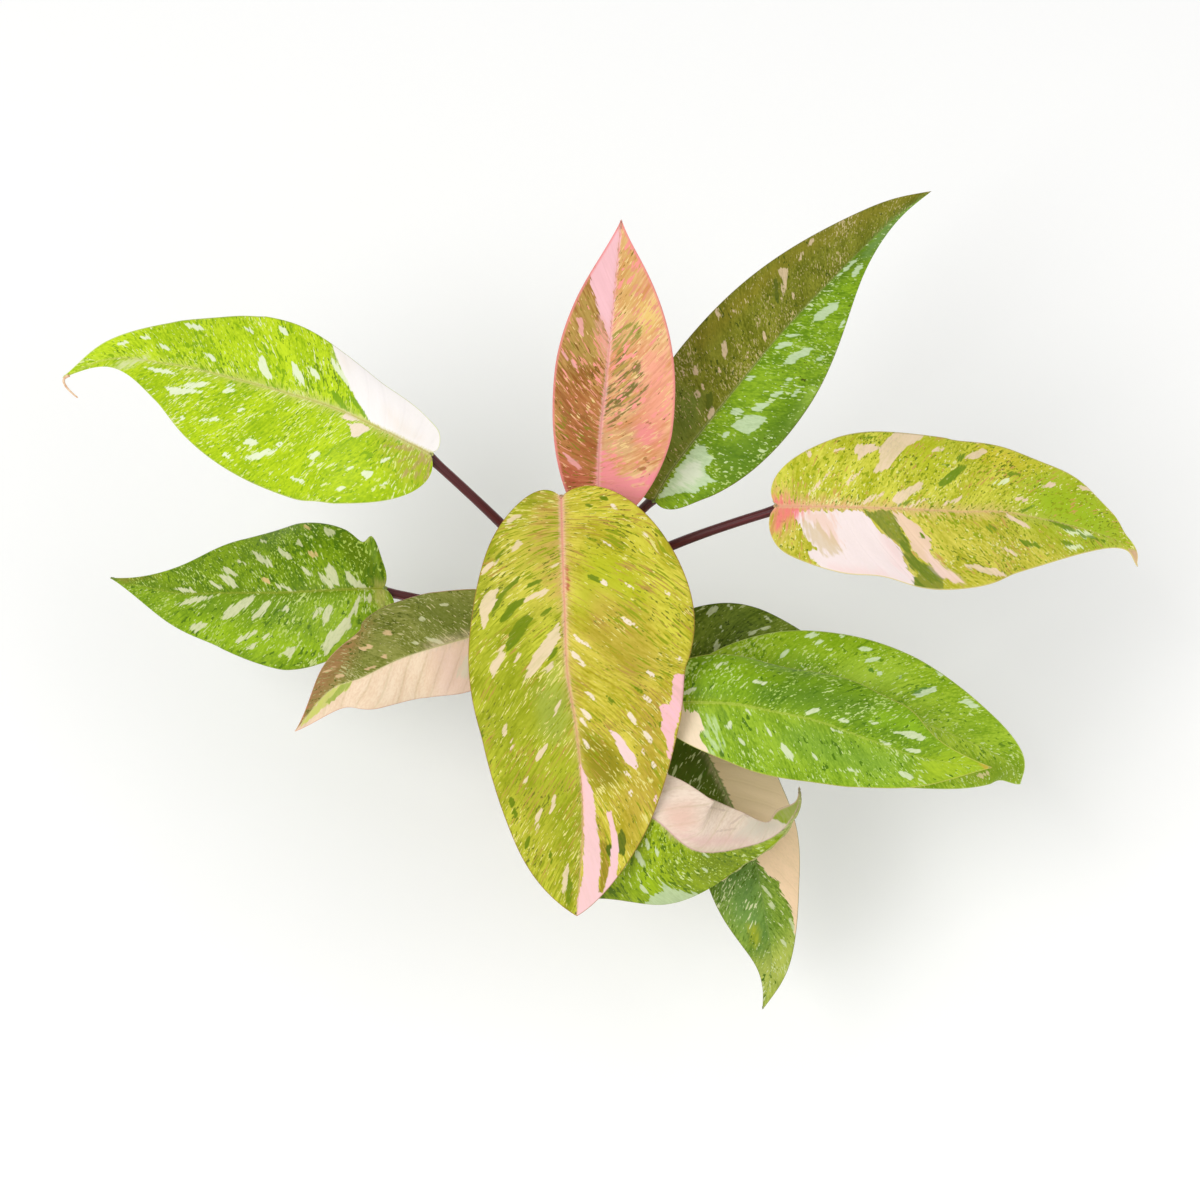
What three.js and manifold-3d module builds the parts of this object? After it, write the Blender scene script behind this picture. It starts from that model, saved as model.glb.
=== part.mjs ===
// A potted variegated philodendron: one ringed stem stands in the soil of a plain round nursery
// pot and carries twelve leaves, each a thin waved blade on a sheathed stalk.
// Millimetres, +Z up. The origin is the centre of the pot's underside.

import * as THREE from 'three';
import { mergeVertices } from 'three/addons/utils/BufferGeometryUtils.js';
import Module from 'manifold-3d';

const wasm = await Module();
wasm.setup();

const UP = new THREE.Vector3(0, 0, 1);
const CLEARANCE = 0.3;

// Driving dimensions

const POT = {
  height: 104,
  baseRadius: 38,
  wallTopRadius: 49.5,
  rimRadius: 52.5,
  rimDrop: 10,
  wall: 1.8,
  floor: 2.4,
  edge: 1.2,
  sides: 32,
  drainCount: 6,
  drainRadius: 4,
  drainSides: 12,
  // the slots are drilled at this slant, in degrees, where the wall meets the floor
  drainSlant: 45,
};

const SOIL = {
  top: 89,
  crown: 3,
  roughness: 0.9,
  // how far the soil's upper edge lies below its top, and how far it keeps off the pot's wall
  shoulder: 4,
  wallGap: 0.8,
  // the rings of its top, from the wall to the stem, as shares of the radius
  rings: [0.99, 0.765, 0.54, 0.315, 0.09],
  sectors: 24,
};

// Bark chips: their places follow a sunflower's spiral from the inner to the outer reach
const CHIP = {
  count: 22,
  size: 7,
  seed: 11,
  spiral: 2.4,
  innerReach: 13,
  edgeGap: 20,
  smallest: 0.55,
  spread: 0.6,
  narrowest: 0.5,
  broader: 0.3,
  thickness: 0.6,
  pitch: 0.5,
  roll: 0.7,
  sunk: 0.6,
};

const STEM = {
  radius: 6.5,
  foot: 42,
  top: 212,
  chamfer: 1,
  shoulder: 1.5,
  ringRise: 0.9,
  ringHeight: 2.4,
  ringLip: 1,
  scars: [94, 103],
  sides: 12,
};

// Aerial roots: azimuth in radians, height on the stem and share of the full length
const ROOT = {
  radius: 1.6,
  length: 15,
  sunk: 2,
  bend: 0.55,
  reach: 0.6,
  droop: 0.7,
  taper: 0.75,
  sides: 7,
  stations: [0, 0.3, 0.6, 0.85, 1],
  places: [[2.5, 107, 1], [0.9, 116, 0.8], [4.4, 106, 0.7]],
};

const STALK = {
  baseRadius: 2.9,
  tipRadius: 1.9,
  // where along the stalk its taper ends, where its collar begins, and how far the collar swells
  taperEnd: 0.7,
  collarStart: 0.9,
  collar: 0.5,
  // how far under the midrib the stalk's end sits
  reach: 1.6,
  // how far off the stem's side it starts, and how it rises, leans out and arrives, as shares of
  // the straight distance that it spans
  start: 1,
  rise: 0.3,
  lean: 0.12,
  arrive: 0.3,
  wing: 2.3,
  // the wings fade out over this stretch
  wingFade: [0.36, 0.46],
  steps: 10,
  // the rounded end's last sections, as shares of the stalk's radius
  dome: [0.86, 0.5, 0.15],
};

const BLADE = {
  thickness: 0.8,
  ribDepth: 1.5,
  ribTaper: 0.85,
  veinRows: 17,
  // where the side veins cross, from the midrib (0) to the margin (1)
  crossings: [0.06, 0.32, 0.66, 1],
  // the margin's gentle waves: height and how many from stalk to tip
  wave: 1.6,
  waveCount: 2.4,
  // how far the waves are shifted from one half to the other, and from leaf to leaf
  sideShift: 0.3,
  leafShift: 0.37,
  // the basal lobe's curve: its pull back and out at the stalk, and its shoulder
  lobePull: 1.3,
  lobeRise: 0.35,
  lobeShoulder: 0.4,
  // the share of the veins that fan out from the stalk's end into the lobes
  fan: 0.16,
  // the share of each margin that lies between the stalk and the widest point
  bellyShare: 0.42,
};

const SHOOT = {
  radius: 3.6,
  length: 46,
  lean: [5, 7],
  bend: 0.5,
  // the stretch of a half sine that its outline follows
  swell: [0.18, 0.98],
  stations: [0, 0.12, 0.4, 0.7, 0.92, 1],
  sides: 8,
};

// Leaves, oldest first. rib is the midrib from the stalk's end to the drip tip. face is the way the
// upper face looks at the base and at the tip. Each half has its width, the place of its widest
// point along the midrib, the setback of its basal lobe, three shape factors of the outer margin
// (how far it runs on, how early it turns in, how full the tip is), its rise from the midrib in
// degrees at base, middle and tip, and how far it curls from midrib to margin. node is the height
// at which the stalk leaves the stem.

const LEAVES = [
  {
    name: '01', node: 112, from: -80, colour: 0x3f6e2c,
    rib: [[47, -35, 160], [63, -68, 157], [74, -89, 148], [84, -107, 138], [89, -128, 127],
      [94, -158, 111], [90, -179, 98]],
    face: [[0, -0.3, 0.9], [0, -0.7, 0.7]],
    left: half(31, 0.34, 8, [0.3, 0.17, 0.31], [-10, -20, -10], -22),
    right: half(28, 0.5, 8, [0.5, 0.3, 0.1], [0, -10, 0], -12),
  },
  {
    name: '02', node: 121, from: 0, colour: 0x3a5a14,
    rib: [[36, -22, 184], [58, -29, 190], [82, -34, 190], [107, -39, 182], [133, -46, 170],
      [161, -55, 154]],
    face: [[0, -0.2, 1], [0, -0.3, 0.95]],
    left: half(31, 0.3, 12, [0.3, 0.28, 0.25], [4, 0, 0], -10),
    right: half(25, 0.45, 3, [0.35, 0.3, 0.25], [0, 0, 0], -12),
  },
  {
    name: '03', node: 130, colour: 0x5e9a14,
    rib: [[-99, 13, 182], [-118, 11, 185], [-152, 13, 177], [-180, 19, 164], [-209, 27, 147],
      [-249, 48, 121]],
    face: [[0, -0.2, 1], [-0.2, -0.3, 0.9]],
    left: half(39, 0.3, 14, [0.12, 0.45, 0.3], [5, 3, 4], -30),
    right: half(42, 0.3, 7, [0.25, 0.4, 0.1], [10, 0, 5], -45),
  },
  {
    name: '04', node: 139, from: -60, colour: 0x6aa82a,
    rib: [[52, -61, 193], [70, -53, 200], [96, -52, 202], [125, -55, 197], [155, -58, 188],
      [187, -66, 176], [209, -73, 165], [217, -80, 152]],
    face: [[0, -0.2, 1], [0, -0.3, 0.95]],
    left: half(35, 0.42, 8, [0.3, 0.2, 0.45], [0, 2, 0], -24),
    right: half(37, 0.5, 8, [0.35, 0.15, 0.45], [0, 0, 0], -13),
  },
  {
    name: '05', node: 148, from: -104, colour: 0x8aa614,
    rib: [[4, -96, 205], [34, -116, 202], [55, -129, 192], [81, -122, 180], [96, -112, 172],
      [105, -99, 170], [106, -89, 172]],
    face: [[0, -0.5, 0.85], [0, -0.5, 0.85]],
    left: half(26, 0.5, 4, [0.3, 0.6, 0.1], [-5, -9, -10], -16),
    right: half(65, 0.3, 8, [0.2, 0.74, 0.03], [-7, -34, -27], -6),
  },
  {
    name: '06', node: 158, colour: 0x7d8458,
    rib: [[-29, -24, 222], [-64, -35, 222], [-87, -39, 213], [-106, -44, 202], [-123, -46, 190],
      [-141, -60, 172]],
    face: [[-0.1, -0.2, 1], [-0.2, -0.3, 0.9]],
    left: half(30, 0.3, 9, [0.2, 0.18, 0.3], [-19, -32, -20], -31),
    right: half(36, 0.5, 18, [0.5, 0.5, 0.1], [-9, -21, -19], -16),
  },
  {
    name: '07', node: 168, colour: 0x64a428,
    rib: [[35, -68, 228], [68, -71, 234], [91, -74, 231], [112, -77, 226], [135, -83, 219],
      [162, -89, 210], [196, -90, 200]],
    face: [[0, -0.3, 1], [0, -0.3, 0.95]],
    left: half(31, 0.34, 8, [0.5, 0.4, 0.34], [18, 4, 5], -50),
    right: half(30, 0.37, 5, [0.4, 0.24, 0.28], [0, 0, 0], -13),
  },
  {
    name: '08', node: 178, colour: 0x9bc21c,
    rib: [[-73, 53, 250], [-102, 65, 258], [-128, 78, 256], [-181, 103, 240], [-209, 117, 226],
      [-240, 129, 210], [-267, 126, 196]],
    face: [[0, -0.2, 1], [0, -0.3, 0.95]],
    left: half(49, 0.28, 15, [0.55, 0.5, 0.09], [-1, -7, 1], -28),
    right: half(34, 0.48, 12, [0.2, 0.32, 0.27], [8, 8, 4], -24),
  },
  {
    name: '09', node: 187, from: 85, colour: 0x5c7a1e,
    rib: [[35, 28, 250], [44, 42, 256], [60, 62, 262], [92, 104, 266], [120, 142, 258],
      [156, 190, 242], [180, 217, 230]],
    face: [[0.1, -0.3, 0.95], [0.1, -0.3, 0.95]],
    left: half(35, 0.3, 8, [0.47, 0.2, 0.35], [-8, -14, -10], -11),
    right: half(36, 0.3, 8, [0.4, 0.64, 0.05], [8, 0, 4], -38),
  },
  {
    name: '10', node: 195, from: 25, colour: 0xb8be3c,
    rib: [[94, 27, 245], [121, 23, 252], [152, 23, 250], [182, 26, 241], [208, 31, 230],
      [248, 33, 208], [272, 33, 190], [278, 24, 184]],
    face: [[0, -0.3, 0.95], [0.1, -0.3, 0.95]],
    left: half(42, 0.27, 11, [0.43, 0.36, 0.62], [8, 2, 4], -40),
    right: half(40, 0.34, 12, [0.4, 0.34, 0.14], [4, 6, 2], 6),
  },
  {
    name: '11', node: 203, from: 150, colour: 0xb4b43c,
    rib: [[-9, 11, 285], [-8, -22, 289], [-7, -47, 279], [-6, -67, 259], [-2, -86, 238],
      [1, -117, 207], [-2, -154, 170]],
    face: [[0, -0.15, 1], [0, -0.75, 0.65]],
    left: half(60, 0.31, 16, [0.2, 0.15, 0.47], [8, 6, 6], -24),
    right: half(45, 0.4, 14, [0.6, 0.13, 0.63], [8, 6, 2], -6),
  },
  {
    name: '12', node: 208, from: 50, colour: 0xe0a080,
    rib: [[8, 21, 262], [9, 41, 285], [12, 63, 305], [15, 91, 320], [19, 134, 330]],
    face: [[0, -0.6, 0.8], [0, -0.6, 0.8]],
    left: half(24.5, 0.43, 22, [0.42, 0.25, 0.26], [18, 12, 5], -13),
    right: half(33.5, 0.3, 17, [0.55, 0.23, 0.27], [18, 12, 5], -13),
  },
];

function half(width, belly, lobe, [run, turn, tip], rise, curl) {
  return { width, belly, lobe, run, turn, tip, rise, curl };
}

// Solids

function vec(values) {
  return new THREE.Vector3(...values);
}

function signedVolume(positions, index) {
  const [a, b, c] = [new THREE.Vector3(), new THREE.Vector3(), new THREE.Vector3()];
  let sum = 0;
  for (let i = 0; i < index.length; i += 3) {
    a.fromArray(positions, 3 * index[i]);
    b.fromArray(positions, 3 * index[i + 1]);
    c.fromArray(positions, 3 * index[i + 2]);
    sum += a.dot(b.cross(c)) / 6;
  }
  return sum;
}

// A closed body from shared vertices, with no collapsed triangle and its faces pointing out
function closedBody(geometry) {
  geometry.deleteAttribute('normal');
  geometry.deleteAttribute('uv');
  const merged = mergeVertices(geometry, 1e-3);
  const source = merged.index.array;
  const index = [];
  for (let i = 0; i < source.length; i += 3) {
    const [a, b, c] = [source[i], source[i + 1], source[i + 2]];
    if (a !== b && b !== c && c !== a) {
      index.push(a, b, c);
    }
  }
  if (signedVolume(merged.attributes.position.array, index) < 0) {
    index.reverse();
  }
  merged.setIndex(index);
  return merged;
}

function toSolid(geometry) {
  return new wasm.Manifold(new wasm.Mesh({
    numProp: 3,
    vertProperties: new Float32Array(geometry.attributes.position.array),
    triVerts: new Uint32Array(geometry.index.array),
  }));
}

function toGeometry(solid) {
  const mesh = solid.getMesh();
  const geometry = new THREE.BufferGeometry();
  geometry.setAttribute('position', new THREE.BufferAttribute(mesh.vertProperties, 3));
  geometry.setIndex(new THREE.BufferAttribute(mesh.triVerts, 1));
  return geometry;
}

function fromGrid(points, index) {
  const geometry = new THREE.BufferGeometry();
  const places = points.flatMap((p) => p.toArray());
  geometry.setAttribute('position', new THREE.Float32BufferAttribute(places, 3));
  geometry.setIndex(index);
  return closedBody(geometry);
}

// A turned body about +Z from [radius, height] pairs that start and end on the axis
function turned(profile, sides) {
  const geometry = new THREE.LatheGeometry(profile.map(([r, z]) => new THREE.Vector2(r, z)), sides);
  geometry.rotateX(Math.PI / 2);
  return closedBody(geometry);
}

// A closed tube through rings of points, its two ends closed by fans
function throughRings(rings) {
  const sides = rings[0].length;
  const index = [];
  for (let r = 0; r + 1 < rings.length; r += 1) {
    for (let k = 0; k < sides; k += 1) {
      const a = r * sides + k;
      const b = r * sides + ((k + 1) % sides);
      index.push(a, b, b + sides, a, b + sides, a + sides);
    }
  }
  const last = (rings.length - 1) * sides;
  for (let k = 1; k + 1 < sides; k += 1) {
    index.push(0, k + 1, k, last, last + k, last + k + 1);
  }
  return fromGrid(rings.flat(), index);
}

function node(name, geometry, colour, roughness) {
  const material = new THREE.MeshStandardMaterial({ color: colour, roughness, metalness: 0 });
  const mesh = new THREE.Mesh(geometry, material);
  mesh.name = name;
  return mesh;
}

// Pot: one moulded shell with a rolled rim, drained through slots round its foot

function potGeometry() {
  const { height, baseRadius, wallTopRadius, rimRadius, rimDrop, wall, floor, edge } = POT;
  const shell = toSolid(turned([
    [0, 0],
    [baseRadius - edge, 0],
    [baseRadius, edge],
    [wallTopRadius, height - rimDrop],
    [rimRadius - edge, height - rimDrop],
    [rimRadius, height - rimDrop + edge],
    [rimRadius, height - edge],
    [rimRadius - edge, height],
    [rimRadius - wall, height],
    [rimRadius - wall, height - rimDrop + wall],
    [wallTopRadius - wall, height - rimDrop + wall],
    [baseRadius - wall, floor],
    [0, floor],
  ], POT.sides));
  const { drainRadius, drainSides, drainSlant } = POT;
  const drill = new THREE.CylinderGeometry(drainRadius, drainRadius, 4 * floor, drainSides);
  drill.rotateX(Math.PI / 2);
  drill.rotateY(THREE.MathUtils.degToRad(drainSlant));
  drill.translate(baseRadius - wall / 2, 0, floor / 2);
  return toGeometry(Array.from({ length: POT.drainCount }, (_, i) => {
    const turn = (i * 2 * Math.PI) / POT.drainCount;
    return toSolid(closedBody(drill.clone().rotateZ(turn)));
  }).reduce((solid, hole) => solid.subtract(hole), shell));
}

// Stem: ringed where each leaf grew, with short aerial roots below the lowest leaves

function ringHeights() {
  return [...STEM.scars, ...LEAVES.map((leaf) => leaf.node)];
}

function stemBody(grow = 0) {
  const { radius, foot, top, chamfer, shoulder, ringRise, ringHeight, ringLip, sides } = STEM;
  const r = radius + grow;
  const profile = [[0, foot - grow], [r - chamfer, foot - grow], [r, foot + chamfer]];
  for (const z of ringHeights()) {
    profile.push([r, z - ringHeight], [r + ringRise, z - ringLip], [r, z]);
  }
  profile.push([r - shoulder, top - shoulder], [0, top + grow]);
  return toSolid(turned(profile, sides));
}

function roundSection(centre, across, along, radius, sides) {
  return Array.from({ length: sides }, (_, k) => {
    const turn = (k * 2 * Math.PI) / sides;
    return centre.clone()
      .addScaledVector(across, radius * Math.cos(turn))
      .addScaledVector(along, radius * Math.sin(turn));
  });
}

function aerialRoot(azimuth, height, length) {
  const out = new THREE.Vector3(Math.cos(azimuth), Math.sin(azimuth), 0);
  const side = new THREE.Vector3().crossVectors(UP, out);
  const start = out.clone().multiplyScalar(STEM.radius - ROOT.sunk).setZ(height);
  const end = start.clone().addScaledVector(out, ROOT.reach * length);
  const route = new THREE.QuadraticBezierCurve3(
    start,
    start.clone().addScaledVector(out, ROOT.bend * length),
    end.addScaledVector(UP, -ROOT.droop * length),
  );
  const rings = ROOT.stations.map((u) => {
    const radius = ROOT.radius * (1 - ROOT.taper * u ** 4);
    const normal = new THREE.Vector3().crossVectors(route.getTangent(u), side);
    return roundSection(route.getPoint(u), side, normal, radius, ROOT.sides);
  });
  return toSolid(throughRings(rings));
}

function stemGeometry() {
  return toGeometry(ROOT.places.reduce(
    (solid, [azimuth, height, share]) => solid.add(aerialRoot(azimuth, height, share * ROOT.length)),
    stemBody(),
  ));
}

// Soil: a domed, uneven top with bark chips pressed into it, and a plain hole for the stem

function potInnerRadius(z) {
  const { height, baseRadius, wallTopRadius, rimDrop, wall, floor } = POT;
  const share = (z - floor) / (height - rimDrop + wall - floor);
  return THREE.MathUtils.lerp(baseRadius, wallTopRadius, share) - wall;
}

// A low crown with lumps: three slow waves round and across it
function soilTop(radius, azimuth) {
  const lump = Math.sin(3 * azimuth + radius / 6) + Math.sin(5 * azimuth - radius / 4 + 1)
    + Math.cos(radius / 5);
  return SOIL.top + SOIL.crown * (1 - (radius / POT.wallTopRadius) ** 2) + SOIL.roughness * lump;
}

// The same even draw from 0 to 1 on every run, by a linear congruential rule
function seededRandom(seed) {
  let state = seed;
  return () => {
    state = (state * 1664525 + 1013904223) % 4294967296;
    return state / 4294967296;
  };
}

function soilGeometry() {
  const floor = POT.floor + CLEARANCE;
  const edge = SOIL.top - SOIL.shoulder;
  const lowRadius = potInnerRadius(floor) - SOIL.wallGap;
  const topRadius = potInnerRadius(edge) - SOIL.wallGap;
  const ring = (radius, height) => Array.from({ length: SOIL.sectors }, (_, k) => {
    const azimuth = (k * 2 * Math.PI) / SOIL.sectors;
    const z = height(radius, azimuth);
    return new THREE.Vector3(radius * Math.cos(azimuth), radius * Math.sin(azimuth), z);
  });
  const rings = [ring(lowRadius, () => floor), ring(topRadius, () => edge)];
  rings.push(...SOIL.rings.map((share) => ring(share * topRadius, soilTop)));
  const random = seededRandom(CHIP.seed);
  const chips = Array.from({ length: CHIP.count }, (_, i) => {
    const azimuth = i * CHIP.spiral;
    const reach = CHIP.innerReach + (topRadius - CHIP.edgeGap) * Math.sqrt((i + 0.5) / CHIP.count);
    const size = CHIP.size * (CHIP.smallest + CHIP.spread * random());
    const breadth = size * (CHIP.narrowest + CHIP.broader * random());
    const chip = new THREE.BoxGeometry(size, breadth, size * CHIP.thickness);
    chip.rotateX(CHIP.pitch * (random() - 0.5));
    chip.rotateY(CHIP.roll * (random() - 0.5));
    chip.rotateZ(2 * Math.PI * random());
    const height = soilTop(reach, azimuth) - CHIP.sunk;
    chip.translate(reach * Math.cos(azimuth), reach * Math.sin(azimuth), height);
    return toSolid(closedBody(chip));
  });
  const soil = chips.reduce((solid, chip) => solid.add(chip), toSolid(throughRings(rings)));
  return toGeometry(soil.subtract(stemBody(CLEARANCE)));
}

// Blades: two unlike halves folded along a curved midrib, laid out on the lines of their veins

function quadratic([start, middle, end], u) {
  return start * (1 - u) * (1 - 2 * u) + 4 * middle * u * (1 - u) + end * u * (2 * u - 1);
}

// The margin of one half in the flat leaf: x along the midrib, y out from it
function marginCurves(length, side) {
  const belly = side.belly * length;
  const rest = length - belly;
  const { width, lobe, run, turn, tip } = side;
  return [
    new THREE.CubicBezierCurve(
      new THREE.Vector2(0, 0),
      new THREE.Vector2(-BLADE.lobePull * lobe, BLADE.lobeRise * width),
      new THREE.Vector2(BLADE.lobeShoulder * belly, width),
      new THREE.Vector2(belly, width),
    ),
    new THREE.CubicBezierCurve(
      new THREE.Vector2(belly, width),
      new THREE.Vector2(belly + run * rest, width),
      new THREE.Vector2(length - turn * rest, tip * width),
      new THREE.Vector2(length, 0),
    ),
  ];
}

// The midrib's point and directions at x: along it, out of the upper face, and to the right
function ribFrame(leaf, x) {
  const { route, length } = leaf;
  const share = THREE.MathUtils.clamp(x / length, 0, 1);
  const along = route.getTangentAt(share);
  const point = route.getPointAt(share).addScaledVector(along, x - share * length);
  const out = vec(leaf.face[0]).lerp(vec(leaf.face[1]), share);
  out.addScaledVector(along, -out.dot(along)).normalize();
  return { point, along, out, right: new THREE.Vector3().crossVectors(along, out), share };
}

function bladePoint(leaf, side, sign, row, crossing) {
  const { length } = leaf;
  const [base, outer] = side.margin;
  const edge = row < BLADE.bellyShare
    ? base.getPoint(row / BLADE.bellyShare)
    : outer.getPoint((row - BLADE.bellyShare) / (1 - BLADE.bellyShare));
  const root = length * Math.max(0, (row - BLADE.fan) / (1 - BLADE.fan));
  const x = root + crossing * (edge.x - root);
  const width = crossing * edge.y;
  const { point, out, right, share } = ribFrame(leaf, x);
  const rise = THREE.MathUtils.degToRad(quadratic(side.rise, share));
  const curl = THREE.MathUtils.degToRad(side.curl) / side.width;
  const across = (Math.sin(rise + curl * width) - Math.sin(rise)) / curl;
  const lift = (Math.cos(rise) - Math.cos(rise + curl * width)) / curl;
  const shift = BLADE.sideShift * sign + BLADE.leafShift * leaf.node;
  const swing = Math.sin(2 * Math.PI * (BLADE.waveCount * row + shift));
  const wave = BLADE.wave * crossing ** 2 * Math.sin(Math.PI * row) * swing;
  return point.addScaledVector(right, sign * across).addScaledVector(out, lift + wave);
}

function bladeGeometry(leaf) {
  const { veinRows, crossings, thickness, ribDepth, ribTaper } = BLADE;
  const columns = [...crossings.map((v) => -v).reverse(), 0, ...crossings];
  const grid = Array.from({ length: veinRows + 1 }, (_, i) => columns.map((v) => bladePoint(
    leaf, v < 0 ? leaf.left : leaf.right, Math.sign(v), i / veinRows, Math.abs(v),
  )));
  const last = columns.length - 1;
  const middle = last / 2;
  const normalAt = (i, j) => {
    const out = ribFrame(leaf, (leaf.length * i) / veinRows).out;
    if (i === 0 || i === veinRows) {
      return out;
    }
    const across = grid[i][Math.min(j + 1, last)].clone().sub(grid[i][Math.max(j - 1, 0)]);
    const along = grid[i + 1][j].clone().sub(grid[i - 1][j]);
    const normal = across.cross(along).normalize();
    return normal.lengthSq() < 0.5 ? out : normal.multiplyScalar(Math.sign(normal.dot(out)) || 1);
  };
  const upper = [];
  const lower = [];
  grid.forEach((line, i) => line.forEach((point, j) => {
    const normal = normalAt(i, j);
    const rib = j === middle ? ribDepth * (1 - ribTaper * (i / veinRows)) : 0;
    upper.push(point.clone().addScaledVector(normal, thickness / 2));
    lower.push(point.clone().addScaledVector(normal, -thickness / 2 - rib));
  }));
  const wide = columns.length;
  const count = upper.length;
  // the two faces, split alike in mirror image about the midrib, then the margins between them
  const index = [];
  for (let i = 0; i < veinRows; i += 1) {
    for (let j = 0; j < last; j += 1) {
      const a = i * wide + j;
      const quad = j < middle ? [a, a + 1, a + wide, a + 1, a + wide + 1, a + wide]
        : [a, a + 1, a + wide + 1, a, a + wide + 1, a + wide];
      index.push(...quad, ...quad.map((n) => n + count).reverse());
    }
    const left = i * wide;
    const right = left + last;
    index.push(left, left + wide, left + count, left + wide, left + wide + count, left + count);
    index.push(right, right + count, right + wide);
    index.push(right + wide, right + count, right + wide + count);
  }
  return fromGrid([...upper, ...lower], index);
}

// Stalks: round above, winged below where the sheath clasped the stem

// A stalk's section: each corner's angle from its upper side, and the shares of groove and wing
const SECTION = [[0, -0.25, 0], [28, 0, 0.7], [48, 0, 1], [95, 0, 0.15], [140, 0, 0], [180, 0, 0],
  [-140, 0, 0], [-95, 0, 0.15], [-48, 0, 1], [-28, 0, 0.7]];

function stalkRoute(leaf) {
  const { point, along, out } = ribFrame(leaf, 0);
  const under = BLADE.thickness / 2 + BLADE.ribDepth + CLEARANCE + STALK.tipRadius + STALK.collar;
  const end = point.clone().addScaledVector(out, -under).addScaledVector(along, STALK.reach);
  const azimuth = leaf.from === undefined ? Math.atan2(end.y, end.x)
    : THREE.MathUtils.degToRad(leaf.from);
  const outward = new THREE.Vector3(Math.cos(azimuth), Math.sin(azimuth), 0);
  const start = outward.clone().multiplyScalar(STEM.radius + STALK.start).setZ(leaf.node);
  const reach = start.distanceTo(end);
  const rising = start.clone().addScaledVector(UP, STALK.rise * reach);
  rising.addScaledVector(outward, STALK.lean * reach);
  const arriving = end.clone().sub(rising).normalize();
  const nearing = end.clone().addScaledVector(arriving, -STALK.arrive * reach);
  return { outward, route: new THREE.CubicBezierCurve3(start, rising, nearing, end) };
}

function stalkGeometry(leaf) {
  const { outward, route } = stalkRoute(leaf);
  const inward = UP.clone().sub(outward);
  const section = (u, shrink) => {
    const along = route.getTangentAt(u);
    const inner = inward.clone().addScaledVector(along, -inward.dot(along)).normalize();
    const side = new THREE.Vector3().crossVectors(along, inner);
    const winged = 1 - THREE.MathUtils.smoothstep(u, ...STALK.wingFade);
    const collar = STALK.collar * THREE.MathUtils.smoothstep(u, STALK.collarStart, 1);
    const tapered = Math.min(1, u / STALK.taperEnd);
    const radius = THREE.MathUtils.lerp(STALK.baseRadius, STALK.tipRadius, tapered) + collar;
    const centre = route.getPointAt(u).addScaledVector(along, radius * Math.sqrt(1 - shrink ** 2));
    return SECTION.map(([degrees, groove, wing]) => {
      const turn = THREE.MathUtils.degToRad(degrees);
      const reach = shrink * (radius * (1 + groove * winged) + wing * winged * STALK.wing);
      return centre.clone().addScaledVector(inner, reach * Math.cos(turn))
        .addScaledVector(side, reach * Math.sin(turn));
    });
  };
  const rings = Array.from({ length: STALK.steps + 1 }, (_, i) => section(i / STALK.steps, 1));
  rings.push(...STALK.dome.map((shrink) => section(1, shrink)));
  return toGeometry(toSolid(throughRings(rings)).subtract(stemBody(CLEARANCE)));
}

// New shoot: the pointed sheath of the next leaf, at the top of the stem

function shootGeometry() {
  const { radius, length, lean: [dx, dy], bend, swell: [low, high] } = SHOOT;
  const foot = new THREE.Vector3(0, 0, STEM.top + CLEARANCE);
  const middle = foot.clone().addScaledVector(UP, bend * length);
  const tip = new THREE.Vector3(dx, dy, STEM.top + length);
  const route = new THREE.QuadraticBezierCurve3(foot, middle, tip);
  const rings = SHOOT.stations.map((u) => {
    const along = route.getTangent(u);
    const across = new THREE.Vector3(0, 1, 0).addScaledVector(along, -along.y).normalize();
    const side = new THREE.Vector3().crossVectors(along, across);
    const swell = radius * Math.sqrt(Math.sin(Math.PI * THREE.MathUtils.lerp(low, high, u)));
    return roundSection(route.getPoint(u), side, across, swell, SHOOT.sides);
  });
  return throughRings(rings);
}

// Assembly

for (const leaf of LEAVES) {
  leaf.route = new THREE.CatmullRomCurve3(leaf.rib.map(vec), false, 'catmullrom', 0.5);
  leaf.length = leaf.route.getLength();
  leaf.left.margin = marginCurves(leaf.length, leaf.left);
  leaf.right.margin = marginCurves(leaf.length, leaf.right);
}

const plant = new THREE.Group();
plant.add(node('pot', potGeometry(), 0xb5aca0, 0.6));
plant.add(node('soil', soilGeometry(), 0x3a2a1e, 0.95));
plant.add(node('stem', stemGeometry(), 0x6b6a34, 0.6));
plant.add(node('new_shoot', shootGeometry(), 0xc06a5c, 0.5));
for (const leaf of LEAVES) {
  plant.add(node(`stalk_${leaf.name}`, stalkGeometry(leaf), 0x5a1a1e, 0.45));
  plant.add(node(`blade_${leaf.name}`, bladeGeometry(leaf), leaf.colour, 0.4));
}

export default plant;
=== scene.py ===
import math

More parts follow.
